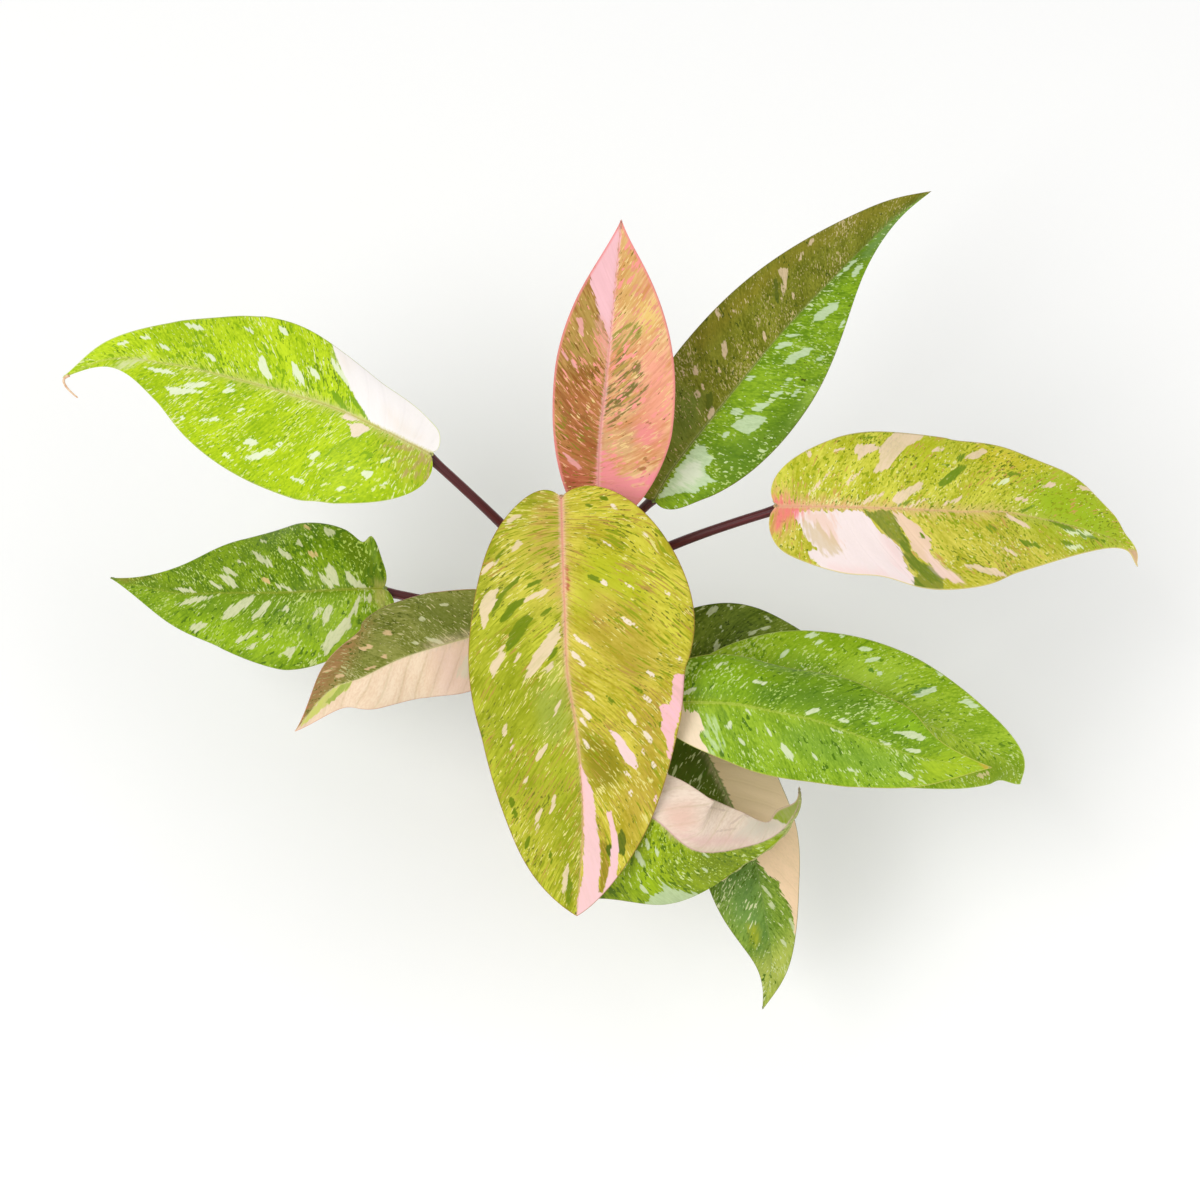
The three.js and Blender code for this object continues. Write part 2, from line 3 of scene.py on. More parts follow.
import bpy
import numpy as np
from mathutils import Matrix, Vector


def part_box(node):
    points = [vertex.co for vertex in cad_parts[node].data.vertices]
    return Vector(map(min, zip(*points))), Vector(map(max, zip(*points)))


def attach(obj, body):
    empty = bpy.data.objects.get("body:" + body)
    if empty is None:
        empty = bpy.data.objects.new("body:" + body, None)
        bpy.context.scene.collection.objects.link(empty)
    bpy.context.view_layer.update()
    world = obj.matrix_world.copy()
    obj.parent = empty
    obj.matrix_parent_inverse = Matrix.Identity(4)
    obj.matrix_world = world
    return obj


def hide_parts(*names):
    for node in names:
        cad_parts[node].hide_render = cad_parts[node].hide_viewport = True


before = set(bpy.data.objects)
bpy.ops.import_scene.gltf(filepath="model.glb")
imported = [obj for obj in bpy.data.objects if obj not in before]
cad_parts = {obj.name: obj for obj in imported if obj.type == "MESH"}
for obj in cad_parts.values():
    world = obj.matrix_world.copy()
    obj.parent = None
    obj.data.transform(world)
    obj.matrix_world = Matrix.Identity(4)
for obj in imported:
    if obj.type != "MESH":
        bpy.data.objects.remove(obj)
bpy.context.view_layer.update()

MM = 0.001

# Camera. The photograph looks down on the plant at 65 degrees from about 1.25 m, with a lens
# long enough to keep near and far leaves in proportion. Its frame is a square.

PHOTO_FRAME = 1200
CAMERA_AIM = np.array((9, -13, 224)) * MM
CAMERA_TILT = math.radians(65)
CAMERA_REACH = 1.25
CAMERA_BACK = np.array((0, -math.cos(CAMERA_TILT), math.sin(CAMERA_TILT)))
CAMERA_UP = np.array((0, math.sin(CAMERA_TILT), math.cos(CAMERA_TILT)))
LENS = 78
SENSOR = 36

bpy.ops.object.select_all(action="DESELECT")
bpy.ops.object.camera_add(
    location=CAMERA_AIM + CAMERA_REACH * CAMERA_BACK,
    rotation=(math.pi / 2 - CAMERA_TILT, 0, 0),
)
camera = bpy.context.object
camera.name = "camera"
camera.data.lens = LENS
camera.data.sensor_width = SENSOR
bpy.context.scene.camera = camera


def photo_spots(places):
    """Where points of the plant show in the photograph, in its pixels."""
    offset = places - CAMERA_AIM
    scale = PHOTO_FRAME * LENS / SENSOR / (CAMERA_REACH - offset @ CAMERA_BACK)
    middle = PHOTO_FRAME / 2
    return np.column_stack([middle + scale * offset[:, 0], middle - scale * (offset @ CAMERA_UP)])


# Studio. A plain pale sheet lies under the pot. Light comes from a bright room on all sides and
# from two wide soft panels, the stronger one high at the left.

SHEET_SIZE = 12
SHEET_COLOUR = "#FFFFFE"
ROOM_COLOUR = "#FFFFFF"
ROOM_LIGHT = 0.545
PANEL_AIM = Vector((0, 0, 0.2))


def paint(code):
    """A colour such as #6AA82A, as it shows on a screen, in the linear values that a shader takes."""
    shown = [int(code[i:i + 2], 16) / 255 for i in (1, 3, 5)]
    linear = [c / 12.92 if c <= 0.04045 else ((c + 0.055) / 1.055) ** 2.4 for c in shown]
    return (*linear, 1)


def add(tree, kind, inputs=None, **settings):
    """A shader node with its settings. An input is a plain value or another node's output."""
    part = tree.nodes.new(kind)
    for name, value in settings.items():
        setattr(part, name, value)
    for name, value in (inputs or {}).items():
        if isinstance(value, bpy.types.NodeSocket):
            tree.links.new(value, part.inputs[name])
        else:
            part.inputs[name].default_value = value
    return part


def new_finish(name):
    """A material with nothing in it but its output."""
    finish = bpy.data.materials.new(name)
    finish.use_nodes = True
    finish.node_tree.nodes.clear()
    return finish, finish.node_tree


def close_finish(tree, **inputs):
    """The shader and the output of a material. Keywords are input names with _ for a space."""
    named = {name.replace("_", " "): value for name, value in inputs.items()}
    shader = add(tree, "ShaderNodeBsdfPrincipled", named)
    add(tree, "ShaderNodeOutputMaterial", {"Surface": shader.outputs[0]})


def light_panel(name, place, size, watts):
    """A square soft light that faces the plant."""
    facing = (PANEL_AIM - Vector(place)).to_track_quat("-Z", "Y").to_euler()
    bpy.ops.object.light_add(type="AREA", location=place, rotation=facing)
    panel = bpy.context.object
    panel.name = name
    panel.data.size = size
    panel.data.energy = watts


bpy.ops.object.select_all(action="DESELECT")
bpy.ops.mesh.primitive_plane_add(size=SHEET_SIZE)
sheet = bpy.context.object
sheet.name = "pale_sheet"
sheet_finish, tree = new_finish("pale_sheet")
close_finish(tree, Base_Color=paint(SHEET_COLOUR), Roughness=0.9)
sheet.data.materials.append(sheet_finish)

light_panel("key_panel", place=(-1.5, -1.1, 3.0), size=1.8, watts=60)
light_panel("fill_panel", place=(2.0, -0.6, 2.4), size=2.2, watts=21)
room = bpy.data.worlds.new("room")
room.use_nodes = True
room.node_tree.nodes["Background"].inputs["Color"].default_value = paint(ROOM_COLOUR)
room.node_tree.nodes["Background"].inputs["Strength"].default_value = ROOM_LIGHT
bpy.context.scene.world = room
bpy.context.scene.view_settings.view_transform = "Standard"

# Nursery pot. One thin shell moulded in plain greige plastic, with a stepped rim that gives the
# fingers a hold and six drain slots cut where its wall meets its floor.

_, POT_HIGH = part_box("pot")
POT_HEIGHT = POT_HIGH.z
RIM_RADIUS = POT_HIGH.x
RIM_DROP = 10 * MM
RIM_STEP = 3 * MM
POT_FOOT = 38 * MM
POT_WALL = 1.8 * MM
POT_FLOOR = 2.4 * MM
POT_SIDES = 128
POT_BEVEL = 0.5 * MM
DRAINS = 6
DRAIN_RADIUS = 4 * MM
DRAIN_SIDES = 32
DRAIN_TILT = math.radians(45)
DUST_HEIGHT = 30 * MM


def pick(*objects):
    """Selects these objects alone and makes the first of them active."""
    bpy.ops.object.select_all(action="DESELECT")
    for obj in objects:
        obj.select_set(True)
    bpy.context.view_layer.objects.active = objects[0]


def edit(obj):
    """Opens one object's mesh for editing, with all of it selected."""
    pick(obj)
    bpy.ops.object.mode_set(mode="EDIT")
    bpy.ops.mesh.select_mode(type="FACE")
    bpy.ops.mesh.select_all(action="SELECT")


def done():
    """Leaves edit mode and selects nothing."""
    bpy.ops.object.mode_set(mode="OBJECT")
    bpy.ops.object.select_all(action="DESELECT")


def join(parts):
    """Joins meshes into the first of them."""
    pick(*parts)
    bpy.ops.object.join()
    return parts[0]


def turn(name, profile, sides):
    """A turned body: a disc drawn up through each radius and height, by extrude and scale."""
    radius, height = profile[0]
    bpy.ops.mesh.primitive_circle_add(
        vertices=sides, radius=radius, fill_type="NGON", location=(0, 0, height),
    )
    body = bpy.context.object
    body.name = name
    bpy.ops.object.transform_apply(location=True)
    edit(body)
    for next_radius, next_height in profile[1:]:
        bpy.ops.mesh.extrude_region_move(TRANSFORM_OT_translate={"value": (0, 0, next_height - height)})
        share = next_radius / radius
        bpy.ops.transform.resize(value=(share, share, 1), center_override=(0, 0, next_height))
        radius, height = next_radius, next_height
    bpy.ops.mesh.select_all(action="SELECT")
    bpy.ops.mesh.normals_make_consistent(inside=False)
    done()
    return body


def apply_modifier(obj, kind, **settings):
    """Adds a modifier with its settings and applies it."""
    bpy.context.view_layer.objects.active = obj
    modifier = obj.modifiers.new(kind.lower(), kind)
    for name, value in settings.items():
        setattr(modifier, name, value)
    bpy.ops.object.modifier_apply(modifier=modifier.name)


def smooth(obj, degrees=None):
    """Smooth shading, all over or up to an angle."""
    pick(obj)
    if degrees is None:
        bpy.ops.object.shade_smooth()
    else:
        bpy.ops.object.shade_smooth_by_angle(angle=math.radians(degrees))
    bpy.ops.object.select_all(action="DESELECT")


def hand_over(obj, finish, slot, *nodes):
    """The finished piece takes its material, rides on the one body and stands for its CAD nodes."""
    obj.data.materials.clear()
    obj.data.materials.append(finish)
    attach(obj, "root")
    if nodes:
        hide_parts(*nodes)


wall_top = RIM_RADIUS - RIM_STEP
pot = turn("nursery_pot", [
    (POT_FOOT, 0),
    (wall_top, POT_HEIGHT - RIM_DROP),
    (RIM_RADIUS, POT_HEIGHT - RIM_DROP),
    (RIM_RADIUS, POT_HEIGHT),
    (RIM_RADIUS - POT_WALL, POT_HEIGHT),
    (RIM_RADIUS - POT_WALL, POT_HEIGHT - RIM_DROP + POT_WALL),
    (wall_top - POT_WALL, POT_HEIGHT - RIM_DROP + POT_WALL),
    (POT_FOOT - POT_WALL, POT_FLOOR),
], POT_SIDES)
apply_modifier(
    pot, "BEVEL", width=POT_BEVEL, segments=3, limit_method="ANGLE", angle_limit=math.radians(30),
)

drills = []
for i in range(DRAINS):
    turned = i * math.tau / DRAINS
    place = Vector((math.cos(turned), math.sin(turned), 0)) * (POT_FOOT - POT_WALL / 2)
    place.z = POT_FLOOR / 2
    bpy.ops.mesh.primitive_cylinder_add(
        vertices=DRAIN_SIDES,
        radius=DRAIN_RADIUS,
        depth=8 * POT_FLOOR,
        location=place,
        rotation=(0, DRAIN_TILT, turned),
    )
    drills.append(bpy.context.object)
drill = join(drills)
apply_modifier(pot, "BOOLEAN", object=drill, operation="DIFFERENCE", solver="EXACT")
bpy.data.objects.remove(drill)
smooth(pot, degrees=35)


def effect(name, vector, numbers, results):
    """An empty shader node group that takes one vector and some numbers and gives numbers."""
    tree = bpy.data.node_groups.new(name, "ShaderNodeTree")
    if vector:
        tree.interface.new_socket(vector, in_out="INPUT", socket_type="NodeSocketVector")
    for label in numbers:
        tree.interface.new_socket(label, in_out="INPUT", socket_type="NodeSocketFloat")
    for label in results:
        tree.interface.new_socket(label, in_out="OUTPUT", socket_type="NodeSocketFloat")
    return tree, tree.nodes.new("NodeGroupInput").outputs, tree.nodes.new("NodeGroupOutput").inputs


def use(tree, group, **inputs):
    """Places a node group in a material. Keywords are its input names with _ for a space."""
    part = tree.nodes.new("ShaderNodeGroup")
    part.node_tree = group
    for name, value in inputs.items():
        socket = part.inputs[name.replace("_", " ")]
        if isinstance(value, bpy.types.NodeSocket):
            tree.links.new(value, socket)
        else:
            socket.default_value = value
    return part.outputs


def number(tree, operation, *values):
    """A Math node's result."""
    return add(tree, "ShaderNodeMath", dict(enumerate(values)), operation=operation).outputs[0]


def step(tree, value, low, high):
    """A smooth step from 0 at low to 1 at high."""
    inputs = {"Value": value, "From Min": low, "From Max": high}
    return add(tree, "ShaderNodeMapRange", inputs, interpolation_type="SMOOTHSTEP").outputs[0]


def between(tree, share, low, high):
    """A share of the way from low to high."""
    inputs = {"Value": share, "To Min": low, "To Max": high}
    return add(tree, "ShaderNodeMapRange", inputs).outputs[0]


def weigh(tree, *parts):
    """The sum of values, each given with its weight."""
    products = [number(tree, "MULTIPLY", value, weight) for value, weight in parts]
    total = products[0]
    for product in products[1:]:
        total = number(tree, "ADD", total, product)
    return total


def blend(tree, share, under, over, mode="MIX"):
    """Two colours mixed by a mask."""
    inputs = {"Factor": share, 6: under, 7: over}
    return add(tree, "ShaderNodeMix", inputs, data_type="RGBA", blend_type=mode).outputs[2]


def noise(tree, place, scale, detail=2.0, roughness=0.5):
    """A noise pattern spread about one half."""
    inputs = {"Vector": place, "Scale": scale, "Detail": detail, "Roughness": roughness}
    return add(tree, "ShaderNodeTexNoise", inputs).outputs[0]


def relief(tree, height, depth):
    """The normal of a fine relief, its depth in metres."""
    inputs = {"Height": height, "Distance": depth, "Strength": 1.0}
    return add(tree, "ShaderNodeBump", inputs).outputs[0]


# Uneven ground: a broad noise that breaks up a plain colour, and a fine one for relief
uneven, given, gives = effect("uneven", "Place", ["Broad", "Fine"], ["Broad", "Fine"])
broad_noise = noise(uneven, given["Place"], given["Broad"])
uneven.links.new(step(uneven, broad_noise, 0.3, 0.7), gives["Broad"])
uneven.links.new(noise(uneven, given["Place"], given["Fine"], 4.0, 0.6), gives["Fine"])


def place_on(tree):
    """The place of a point on the piece."""
    return add(tree, "ShaderNodeTexCoord").outputs["Object"]


def height_on(tree):
    """The height of a point on the piece."""
    return add(tree, "ShaderNodeSeparateXYZ", {0: place_on(tree)}).outputs["Z"]


def uneven_finish(name, broad, fine):
    """A material that starts with a broad and a fine pattern of noise."""
    finish, tree = new_finish(name)
    patterns = use(tree, uneven, Place=place_on(tree), Broad=broad, Fine=fine)
    return finish, tree, patterns["Broad"], patterns["Fine"]


pot_finish, tree, broad, fine = uneven_finish("moulded_plastic", 28.0, 900.0)
foot_dust = number(tree, "MULTIPLY", step(tree, height_on(tree), DUST_HEIGHT, 0.0), broad)
plastic = blend(tree, broad, paint("#B3AA9E"), paint("#BDB4A8"))
close_finish(
    tree,
    Base_Color=blend(tree, foot_dust, plastic, paint("#9C8F7E")),
    Roughness=between(tree, fine, 0.45, 0.66),
    Normal=relief(tree, fine, 0.12 * MM),
)
hand_over(pot, pot_finish, "pot", "pot")

# Potting mix. Dark peat pressed into a low dome round the stem, with chips of pine bark and
# white perlite grains lying on it and half sunk in it. It fills the pot to 15 mm under the rim.

SOIL_LOW, SOIL_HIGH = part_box("soil")
SOIL_TOP = 89 * MM
SOIL_CROWN = 3 * MM
SOIL_DOME = 49.5 * MM
SOIL_RADIUS = SOIL_HIGH.x
SOIL_SIDES = 120
SOIL_RINGS = 38
STEM_HOLE = 6.8 * MM
SOIL_LUMP = 0.9 * MM
CRUMB_DEPTH = 3.0 * MM
CRUMB_SIZE = 3.2 * MM
BARK_CHIPS = 110
BARK_SIZE = 7.5 * MM
CHIP_PROPORTIONS = [(1.0, 0.6, 0.3), (0.8, 0.5, 0.42), (1.2, 0.42, 0.26)]
CHIP_WEAR = 0.07
CHIP_BEVEL = 0.05
PERLITE_GRAINS = 80
PERLITE_SIZE = 3.0 * MM
PERLITE_DENTS = (0.8, 1.12)
SMALLEST_SHARE = 0.45
LOOSE_TILT = 0.3


def read_places(obj):
    """The places of a mesh's vertices, one row each."""
    places = np.empty(len(obj.data.vertices) * 3)
    obj.data.vertices.foreach_get("co", places)
    return places.reshape(-1, 3)


def write_places(obj, places):
    """Moves a mesh's vertices."""
    obj.data.vertices.foreach_set("co", places.ravel())
    obj.data.update()


def soil_height(x, y):
    """The top of the soil over a point: a low crown with lumps."""
    radius = np.hypot(x, y)
    azimuth = np.arctan2(y, x)
    lump = np.sin(3 * azimuth + radius / (6 * MM)) + np.sin(5 * azimuth - radius / (4 * MM) + 1)
    lump += np.cos(radius / (5 * MM))
    return SOIL_TOP + SOIL_CROWN * (1 - (radius / SOIL_DOME) ** 2) + SOIL_LUMP * lump


ring_radii = np.linspace(SOIL_RADIUS, STEM_HOLE, SOIL_RINGS)
soil_profile = [(POT_FOOT - POT_WALL - 1 * MM, SOIL_LOW.z), (SOIL_RADIUS, SOIL_TOP - 4 * MM)]
soil_profile += [(float(r), SOIL_TOP) for r in ring_radii[1:]]
soil = turn("potting_mix", soil_profile, SOIL_SIDES)
places = read_places(soil)
on_top = places[:, 2] > SOIL_TOP - 1 * MM
places[on_top, 2] = soil_height(places[on_top, 0], places[on_top, 1])
write_places(soil, places)
crumbs = bpy.data.textures.new("crumbs", "CLOUDS")
crumbs.noise_scale = CRUMB_SIZE
crumbs.noise_depth = 3
top_group = soil.vertex_groups.new(name="top")
top_group.add([int(i) for i in np.flatnonzero(on_top)], 1.0, "REPLACE")
apply_modifier(
    soil, "DISPLACE", texture=crumbs, texture_coords="LOCAL", strength=CRUMB_DEPTH, mid_level=0.5,
    direction="Z", vertex_group="top",
)
smooth(soil)

soil_finish, tree, broad, fine = uneven_finish("peat", 240.0, 1400.0)
peat = blend(tree, broad, paint("#2A1C13"), paint("#4A3524"))
close_finish(
    tree,
    Base_Color=blend(tree, step(tree, fine, 0.62, 0.7), peat, paint("#6E5138")),
    Roughness=0.95,
    Normal=relief(tree, fine, 1.2 * MM),
)
hand_over(soil, soil_finish, "soil", "soil")

soil_draw = np.random.default_rng(5)


def bark_patterns():
    """Broken chips of bark, each a cube that is cut, bevelled and worn uneven."""
    chips = []
    for proportion in CHIP_PROPORTIONS:
        bpy.ops.mesh.primitive_cube_add(size=1)
        chip = bpy.context.object
        write_places(chip, read_places(chip) * proportion)
        edit(chip)
        bpy.ops.mesh.subdivide(number_cuts=2)
        bpy.ops.mesh.bevel(offset=CHIP_BEVEL, segments=1)
        done()
        worn = read_places(chip)
        worn += soil_draw.uniform(-CHIP_WEAR, CHIP_WEAR, worn.shape)
        write_places(chip, worn)
        chips.append(chip)
    return chips


def scatter(name, patterns, count, size, rise):
    """Copies of a few patterns, each with its own mesh, spread over the soil and joined in one.
    Rise is how high their middles lie above the soil, as a share of their size."""
    copies = []
    for i in range(count):
        copy = patterns[i % len(patterns)].copy()
        copy.data = copy.data.copy()
        bpy.context.scene.collection.objects.link(copy)
        nearest, farthest = STEM_HOLE + size, SOIL_RADIUS - 0.9 * size
        reach = math.sqrt(soil_draw.uniform(nearest ** 2, farthest ** 2))
        azimuth = soil_draw.uniform(0, math.tau)
        x = reach * math.cos(azimuth)
        y = reach * math.sin(azimuth)
        copy.scale = (size * soil_draw.uniform(SMALLEST_SHARE, 1.0),) * 3
        tilts = soil_draw.normal(0, LOOSE_TILT), soil_draw.normal(0, LOOSE_TILT)
        copy.rotation_euler = (*tilts, soil_draw.uniform(0, math.tau))
        copy.location = (x, y, float(soil_height(x, y)) + rise * size)
        copies.append(copy)
    for pattern in patterns:
        bpy.data.objects.remove(pattern)
    joined = join(copies)
    joined.name = name
    bpy.ops.object.transform_apply(location=True, rotation=True, scale=True)
    return joined


bark = scatter("bark_chips", bark_patterns(), BARK_CHIPS, BARK_SIZE, rise=0.1)
smooth(bark, degrees=40)
bark_finish, tree, broad, fine = uneven_finish("pine_bark", 160.0, 1100.0)
red_bark = blend(tree, broad, paint("#4B3121"), paint("#8A6242"))
close_finish(
    tree,
    Base_Color=blend(tree, step(tree, fine, 0.45, 0.7), red_bark, paint("#A98A66")),
    Roughness=0.85,
    Normal=relief(tree, fine, 0.5 * MM),
)
hand_over(bark, bark_finish, "soil")


def perlite_patterns():
    """Two puffed grains, each a small ball with dents."""
    grains = []
    for _ in range(2):
        bpy.ops.mesh.primitive_ico_sphere_add(subdivisions=2, radius=0.5)
        grain = bpy.context.object
        rough = read_places(grain)
        write_places(grain, rough * soil_draw.uniform(*PERLITE_DENTS, (len(rough), 1)))
        grains.append(grain)
    return grains


perlite = scatter("perlite", perlite_patterns(), PERLITE_GRAINS, PERLITE_SIZE, rise=0.14)
smooth(perlite)
perlite_finish, tree, broad, fine = uneven_finish("perlite", 400.0, 2200.0)
close_finish(
    tree,
    Base_Color=blend(tree, broad, paint("#D9D3C6"), paint("#F1EEE6")),
    Roughness=0.9,
    Normal=relief(tree, fine, 0.3 * MM),
)
hand_over(perlite, perlite_finish, "soil")

# Stem. One upright stem, green going to brown at its foot, with a raised ring at each scar and
# each leaf node. Short aerial roots grow out and down from its lower rings.

STEM_RADIUS = 6.5 * MM
STEM_FOOT = 42 * MM
STEM_TOP = 212 * MM
STEM_SIDES = 40
SCARS = [94, 103]
LEAF_NODES = {
    "01": 112, "02": 121, "03": 130, "04": 139, "05": 148, "06": 158,
    "07": 168, "08": 178, "09": 187, "10": 195, "11": 203, "12": 208,
}
RIPPLE_BROAD = 0.02
RIPPLE_FINE = 0.012
RIPPLE_TWIST = 14 * MM
# How far a ring stands out of the stem, and how far below its top, in millimetres
RING_PROFILE = [(0, 3.2), (0.35, 2.2), (0.9, 1.2), (0.75, 0.7), (0.2, 0.3), (-0.1, -0.4)]
# The azimuth of each root in radians, its height in millimetres and its share of the length
AERIAL_ROOTS = [(2.5, 107, 1.0), (0.9, 116, 0.8), (4.4, 106, 0.7)]
ROOT_RADIUS = 1.6 * MM
ROOT_LENGTH = 15 * MM
ROOT_PULL = 0.55
ROOT_OUT = 0.6
ROOT_DROP = 0.7
ROOT_TIP = 0.35
GREEN_ABOVE = 165 * MM
BROWN_BELOW = 100 * MM
RING_PACE = 4.5 * MM
RING_LINE = 0.6 * MM

stem_profile = [(STEM_RADIUS - 1 * MM, STEM_FOOT), (STEM_RADIUS, STEM_FOOT + 1 * MM)]
for ring in [*SCARS, *LEAF_NODES.values()]:
    for rise, drop in RING_PROFILE:
        stem_profile.append((STEM_RADIUS + rise * MM, (ring - drop) * MM))
stem_profile += [(STEM_RADIUS - 1.2 * MM, STEM_TOP - 1 * MM), (STEM_RADIUS - 3 * MM, STEM_TOP)]
stem = turn("plant_stem", stem_profile, STEM_SIDES)
places = read_places(stem)
azimuth = np.arctan2(places[:, 1], places[:, 0])
ripple = 1 + RIPPLE_BROAD * np.sin(3 * azimuth + places[:, 2] / RIPPLE_TWIST)
ripple += RIPPLE_FINE * np.sin(11 * azimuth)
places[:, :2] *= ripple[:, None]
write_places(stem, places)


def aerial_root(turned, height, share):
    """A tapering root that leaves the stem level and bends down."""
    bpy.ops.curve.primitive_bezier_curve_add()
    root = bpy.context.object
    outward = Vector((math.cos(turned), math.sin(turned), 0))
    length = share * ROOT_LENGTH
    start = outward * (STEM_RADIUS - 2 * MM) + Vector((0, 0, height * MM))
    near, far = root.data.splines[0].bezier_points
    near.co = start
    near.handle_left = start - outward * 2 * MM
    near.handle_right = start + outward * ROOT_PULL * length
    far.co = start + outward * ROOT_OUT * length - Vector((0, 0, ROOT_DROP * length))
    far.handle_left = far.co + Vector((0, 0, ROOT_DROP / 2 * length))
    far.handle_right = far.co - Vector((0, 0, 1 * MM))
    far.radius = ROOT_TIP
    root.data.bevel_depth = ROOT_RADIUS
    root.data.bevel_resolution = 5
    root.data.resolution_u = 16
    root.data.use_fill_caps = True
    bpy.ops.object.convert(target="MESH")
    return bpy.context.object


join([stem, *(aerial_root(*root) for root in AERIAL_ROOTS)])
smooth(stem, degrees=60)

stem_finish, tree, broad, fine = uneven_finish("stem_bark", 110.0, 900.0)
height = height_on(tree)
green_stem = blend(tree, broad, paint("#6B6A34"), paint("#7E7C3C"))
old_stem = blend(tree, broad, paint("#6A4E33"), paint("#8A6B48"))
aged = blend(tree, step(tree, height, GREEN_ABOVE, BROWN_BELOW), green_stem, old_stem)
ringed = step(tree, number(tree, "PINGPONG", height, RING_PACE), RING_LINE, 0.0)
close_finish(
    tree,
    Base_Color=blend(tree, ringed, aged, paint("#4E3A26")),
    Roughness=0.6,
    Normal=relief(tree, fine, 0.35 * MM),
)
hand_over(stem, stem_finish, "stem", "stem")

# Leaf blades. Each grew as one thin sheet: two unlike halves folded along a midrib that is
# grooved above and ridged below, with side veins that sweep out to a gently waved margin.

BLADE_ROWS = 176
BLADE_COLUMNS = 84
CROWDING = 1.25
HALF_THICKNESS = 0.4 * MM
BLADE_FLESH = 0.62 * MM
MARGIN_THINNING = 0.5
MARGIN_BEVEL = 1.5 * MM
RIB_BEGINS = (0.01, 0.07)
RIB_DEPTH = 1.5 * MM
RIB_TAPER = 0.85
RIB_REACH = 1.5 * MM
GROOVE_DEPTH = 0.55 * MM
GROOVE_TAPER = 0.6
GROOVE_REACH = 1.0 * MM
END_ROWS = (0.012, 1 - 1e-6)
SAME_PLACE = 0.01 * MM
VEIN_SHARES = [-0.12, 0, 0.15, 0.4, 0.65, 0.85, 1]
VEIN_ANGLES = [120, 98, 66, 48, 36, 24, 15]
VEIN_SPACING = 7.5 * MM
# The colour that darkens the side veins: partly their own colour, partly painted shade in their furrows.
VEIN_TINT_AND_SHADE = "#D2D6B4"
PILLOW = 0.19 * MM
VEIN_STATIONS = np.linspace(-0.4, 1.2, 321)
ROW_FAN = 0.16
BELLY_ROW = 0.42
LOBE_BULGE = (-1.3, 0.35)
LOBE_SHOULDER = 0.4
WAVE = 1.6 * MM
WAVE_COUNT = 2.4
WAVE_BY_SIDE = 0.3
WAVE_BY_NODE = 0.37
PIXELS_PER_METRE = PHOTO_FRAME * LENS / SENSOR / CAMERA_REACH


def unit(vectors):
    """Directions of length 1."""
    return vectors / np.linalg.norm(vectors, axis=-1, keepdims=True)


def smooth_share(value, low, high):
    """0 below low, 1 above high, smooth between."""
    u = np.clip((value - low) / (high - low), 0, 1)
    return u * u * (3 - 2 * u)


def smooth_route(points, pieces=60):
    """A smooth route through points, with the distance walked at each of its stations."""
    corners = np.array(points, float) * MM
    corners = np.vstack([2 * corners[0] - corners[1], corners, 2 * corners[-1] - corners[-2]])
    share = np.linspace(0, 1, pieces, endpoint=False)[:, None]
    runs = []
    for a, b, c, d in zip(corners, corners[1:], corners[2:], corners[3:]):
        square = (2 * a - 5 * b + 4 * c - d) * share ** 2
        runs.append((2 * b + (c - a) * share + square + (3 * b - 3 * c + d - a) * share ** 3) / 2)
    stations = np.vstack([*runs, corners[-2]])
    walked = np.concatenate([[0], np.cumsum(np.linalg.norm(np.diff(stations, axis=0), axis=1))])
    return stations, walked


def route_at(route, distance):
    """Points and directions on a route, which runs straight on past its ends."""
    stations, walked = route
    length = walked[-1]

    def spots(at):
        return np.column_stack([np.interp(at, walked, stations[:, k]) for k in range(3)])

    inside = np.clip(distance, 0, length)
    near = np.maximum(inside - 1 * MM, 0)
    far = np.minimum(inside + 1 * MM, length)
    along = unit(spots(far) - spots(near))
    return spots(inside) + along * (distance - inside)[:, None], along


def bezier(corners, share):
    """Points on a cubic curve."""
    a, b, c, d = (np.array(corner, float) for corner in corners)
    u = share[:, None]
    w = 1 - u
    return w ** 3 * a + 3 * w ** 2 * u * b + 3 * w * u ** 2 * c + u ** 3 * d


def quadratic(three, u):
    """A value that runs through its start, middle and end."""
    start, middle, end = three
    return start * (1 - u) * (1 - 2 * u) + 4 * middle * u * (1 - u) + end * u * (2 * u - 1)


def half(width, belly, lobe, shape, rise, curl):
    """One half of a blade: its width, where it is widest, how far its lobe is set back, three
    factors of its margin, its rise from the midrib and its curl, in millimetres and degrees."""
    return {
        "width": width * MM, "belly": belly, "lobe": lobe * MM, "shape": shape,
        "rise": [math.radians(angle) for angle in rise], "curl": math.radians(curl),
    }


def margin(side, length, row):
    """The margin of one half in the flat leaf: along the midrib, and out from it."""
    width, lobe = side["width"], side["lobe"]
    run, turned, tip = side["shape"]
    widest = side["belly"] * length
    rest = length - widest
    shoulder = (widest + run * rest, width)
    waist = (length - turned * rest, tip * width)
    bulge = (LOBE_BULGE[0] * lobe, LOBE_BULGE[1] * width)
    lower = [(0, 0), bulge, (LOBE_SHOULDER * widest, width), (widest, width)]
    upper = [(widest, width), shoulder, waist, (length, 0)]
    below = bezier(lower, row / BELLY_ROW)
    above = bezier(upper, (row - BELLY_ROW) / (1 - BELLY_ROW))
    return np.where((row < BELLY_ROW)[:, None], below, above)


def rib_frame(leaf, distance):
    """The midrib's points, and the directions along it, out of the upper face and to the right."""
    route = leaf["route"]
    share = np.clip(distance / leaf["length"], 0, 1)
    point, along = route_at(route, distance)
    first, last = (np.array(face, float) for face in leaf["face"])
    out = first + share[:, None] * (last - first)
    out = unit(out - along * np.sum(out * along, axis=1, keepdims=True))
    return point, along, out, np.cross(along, out), share


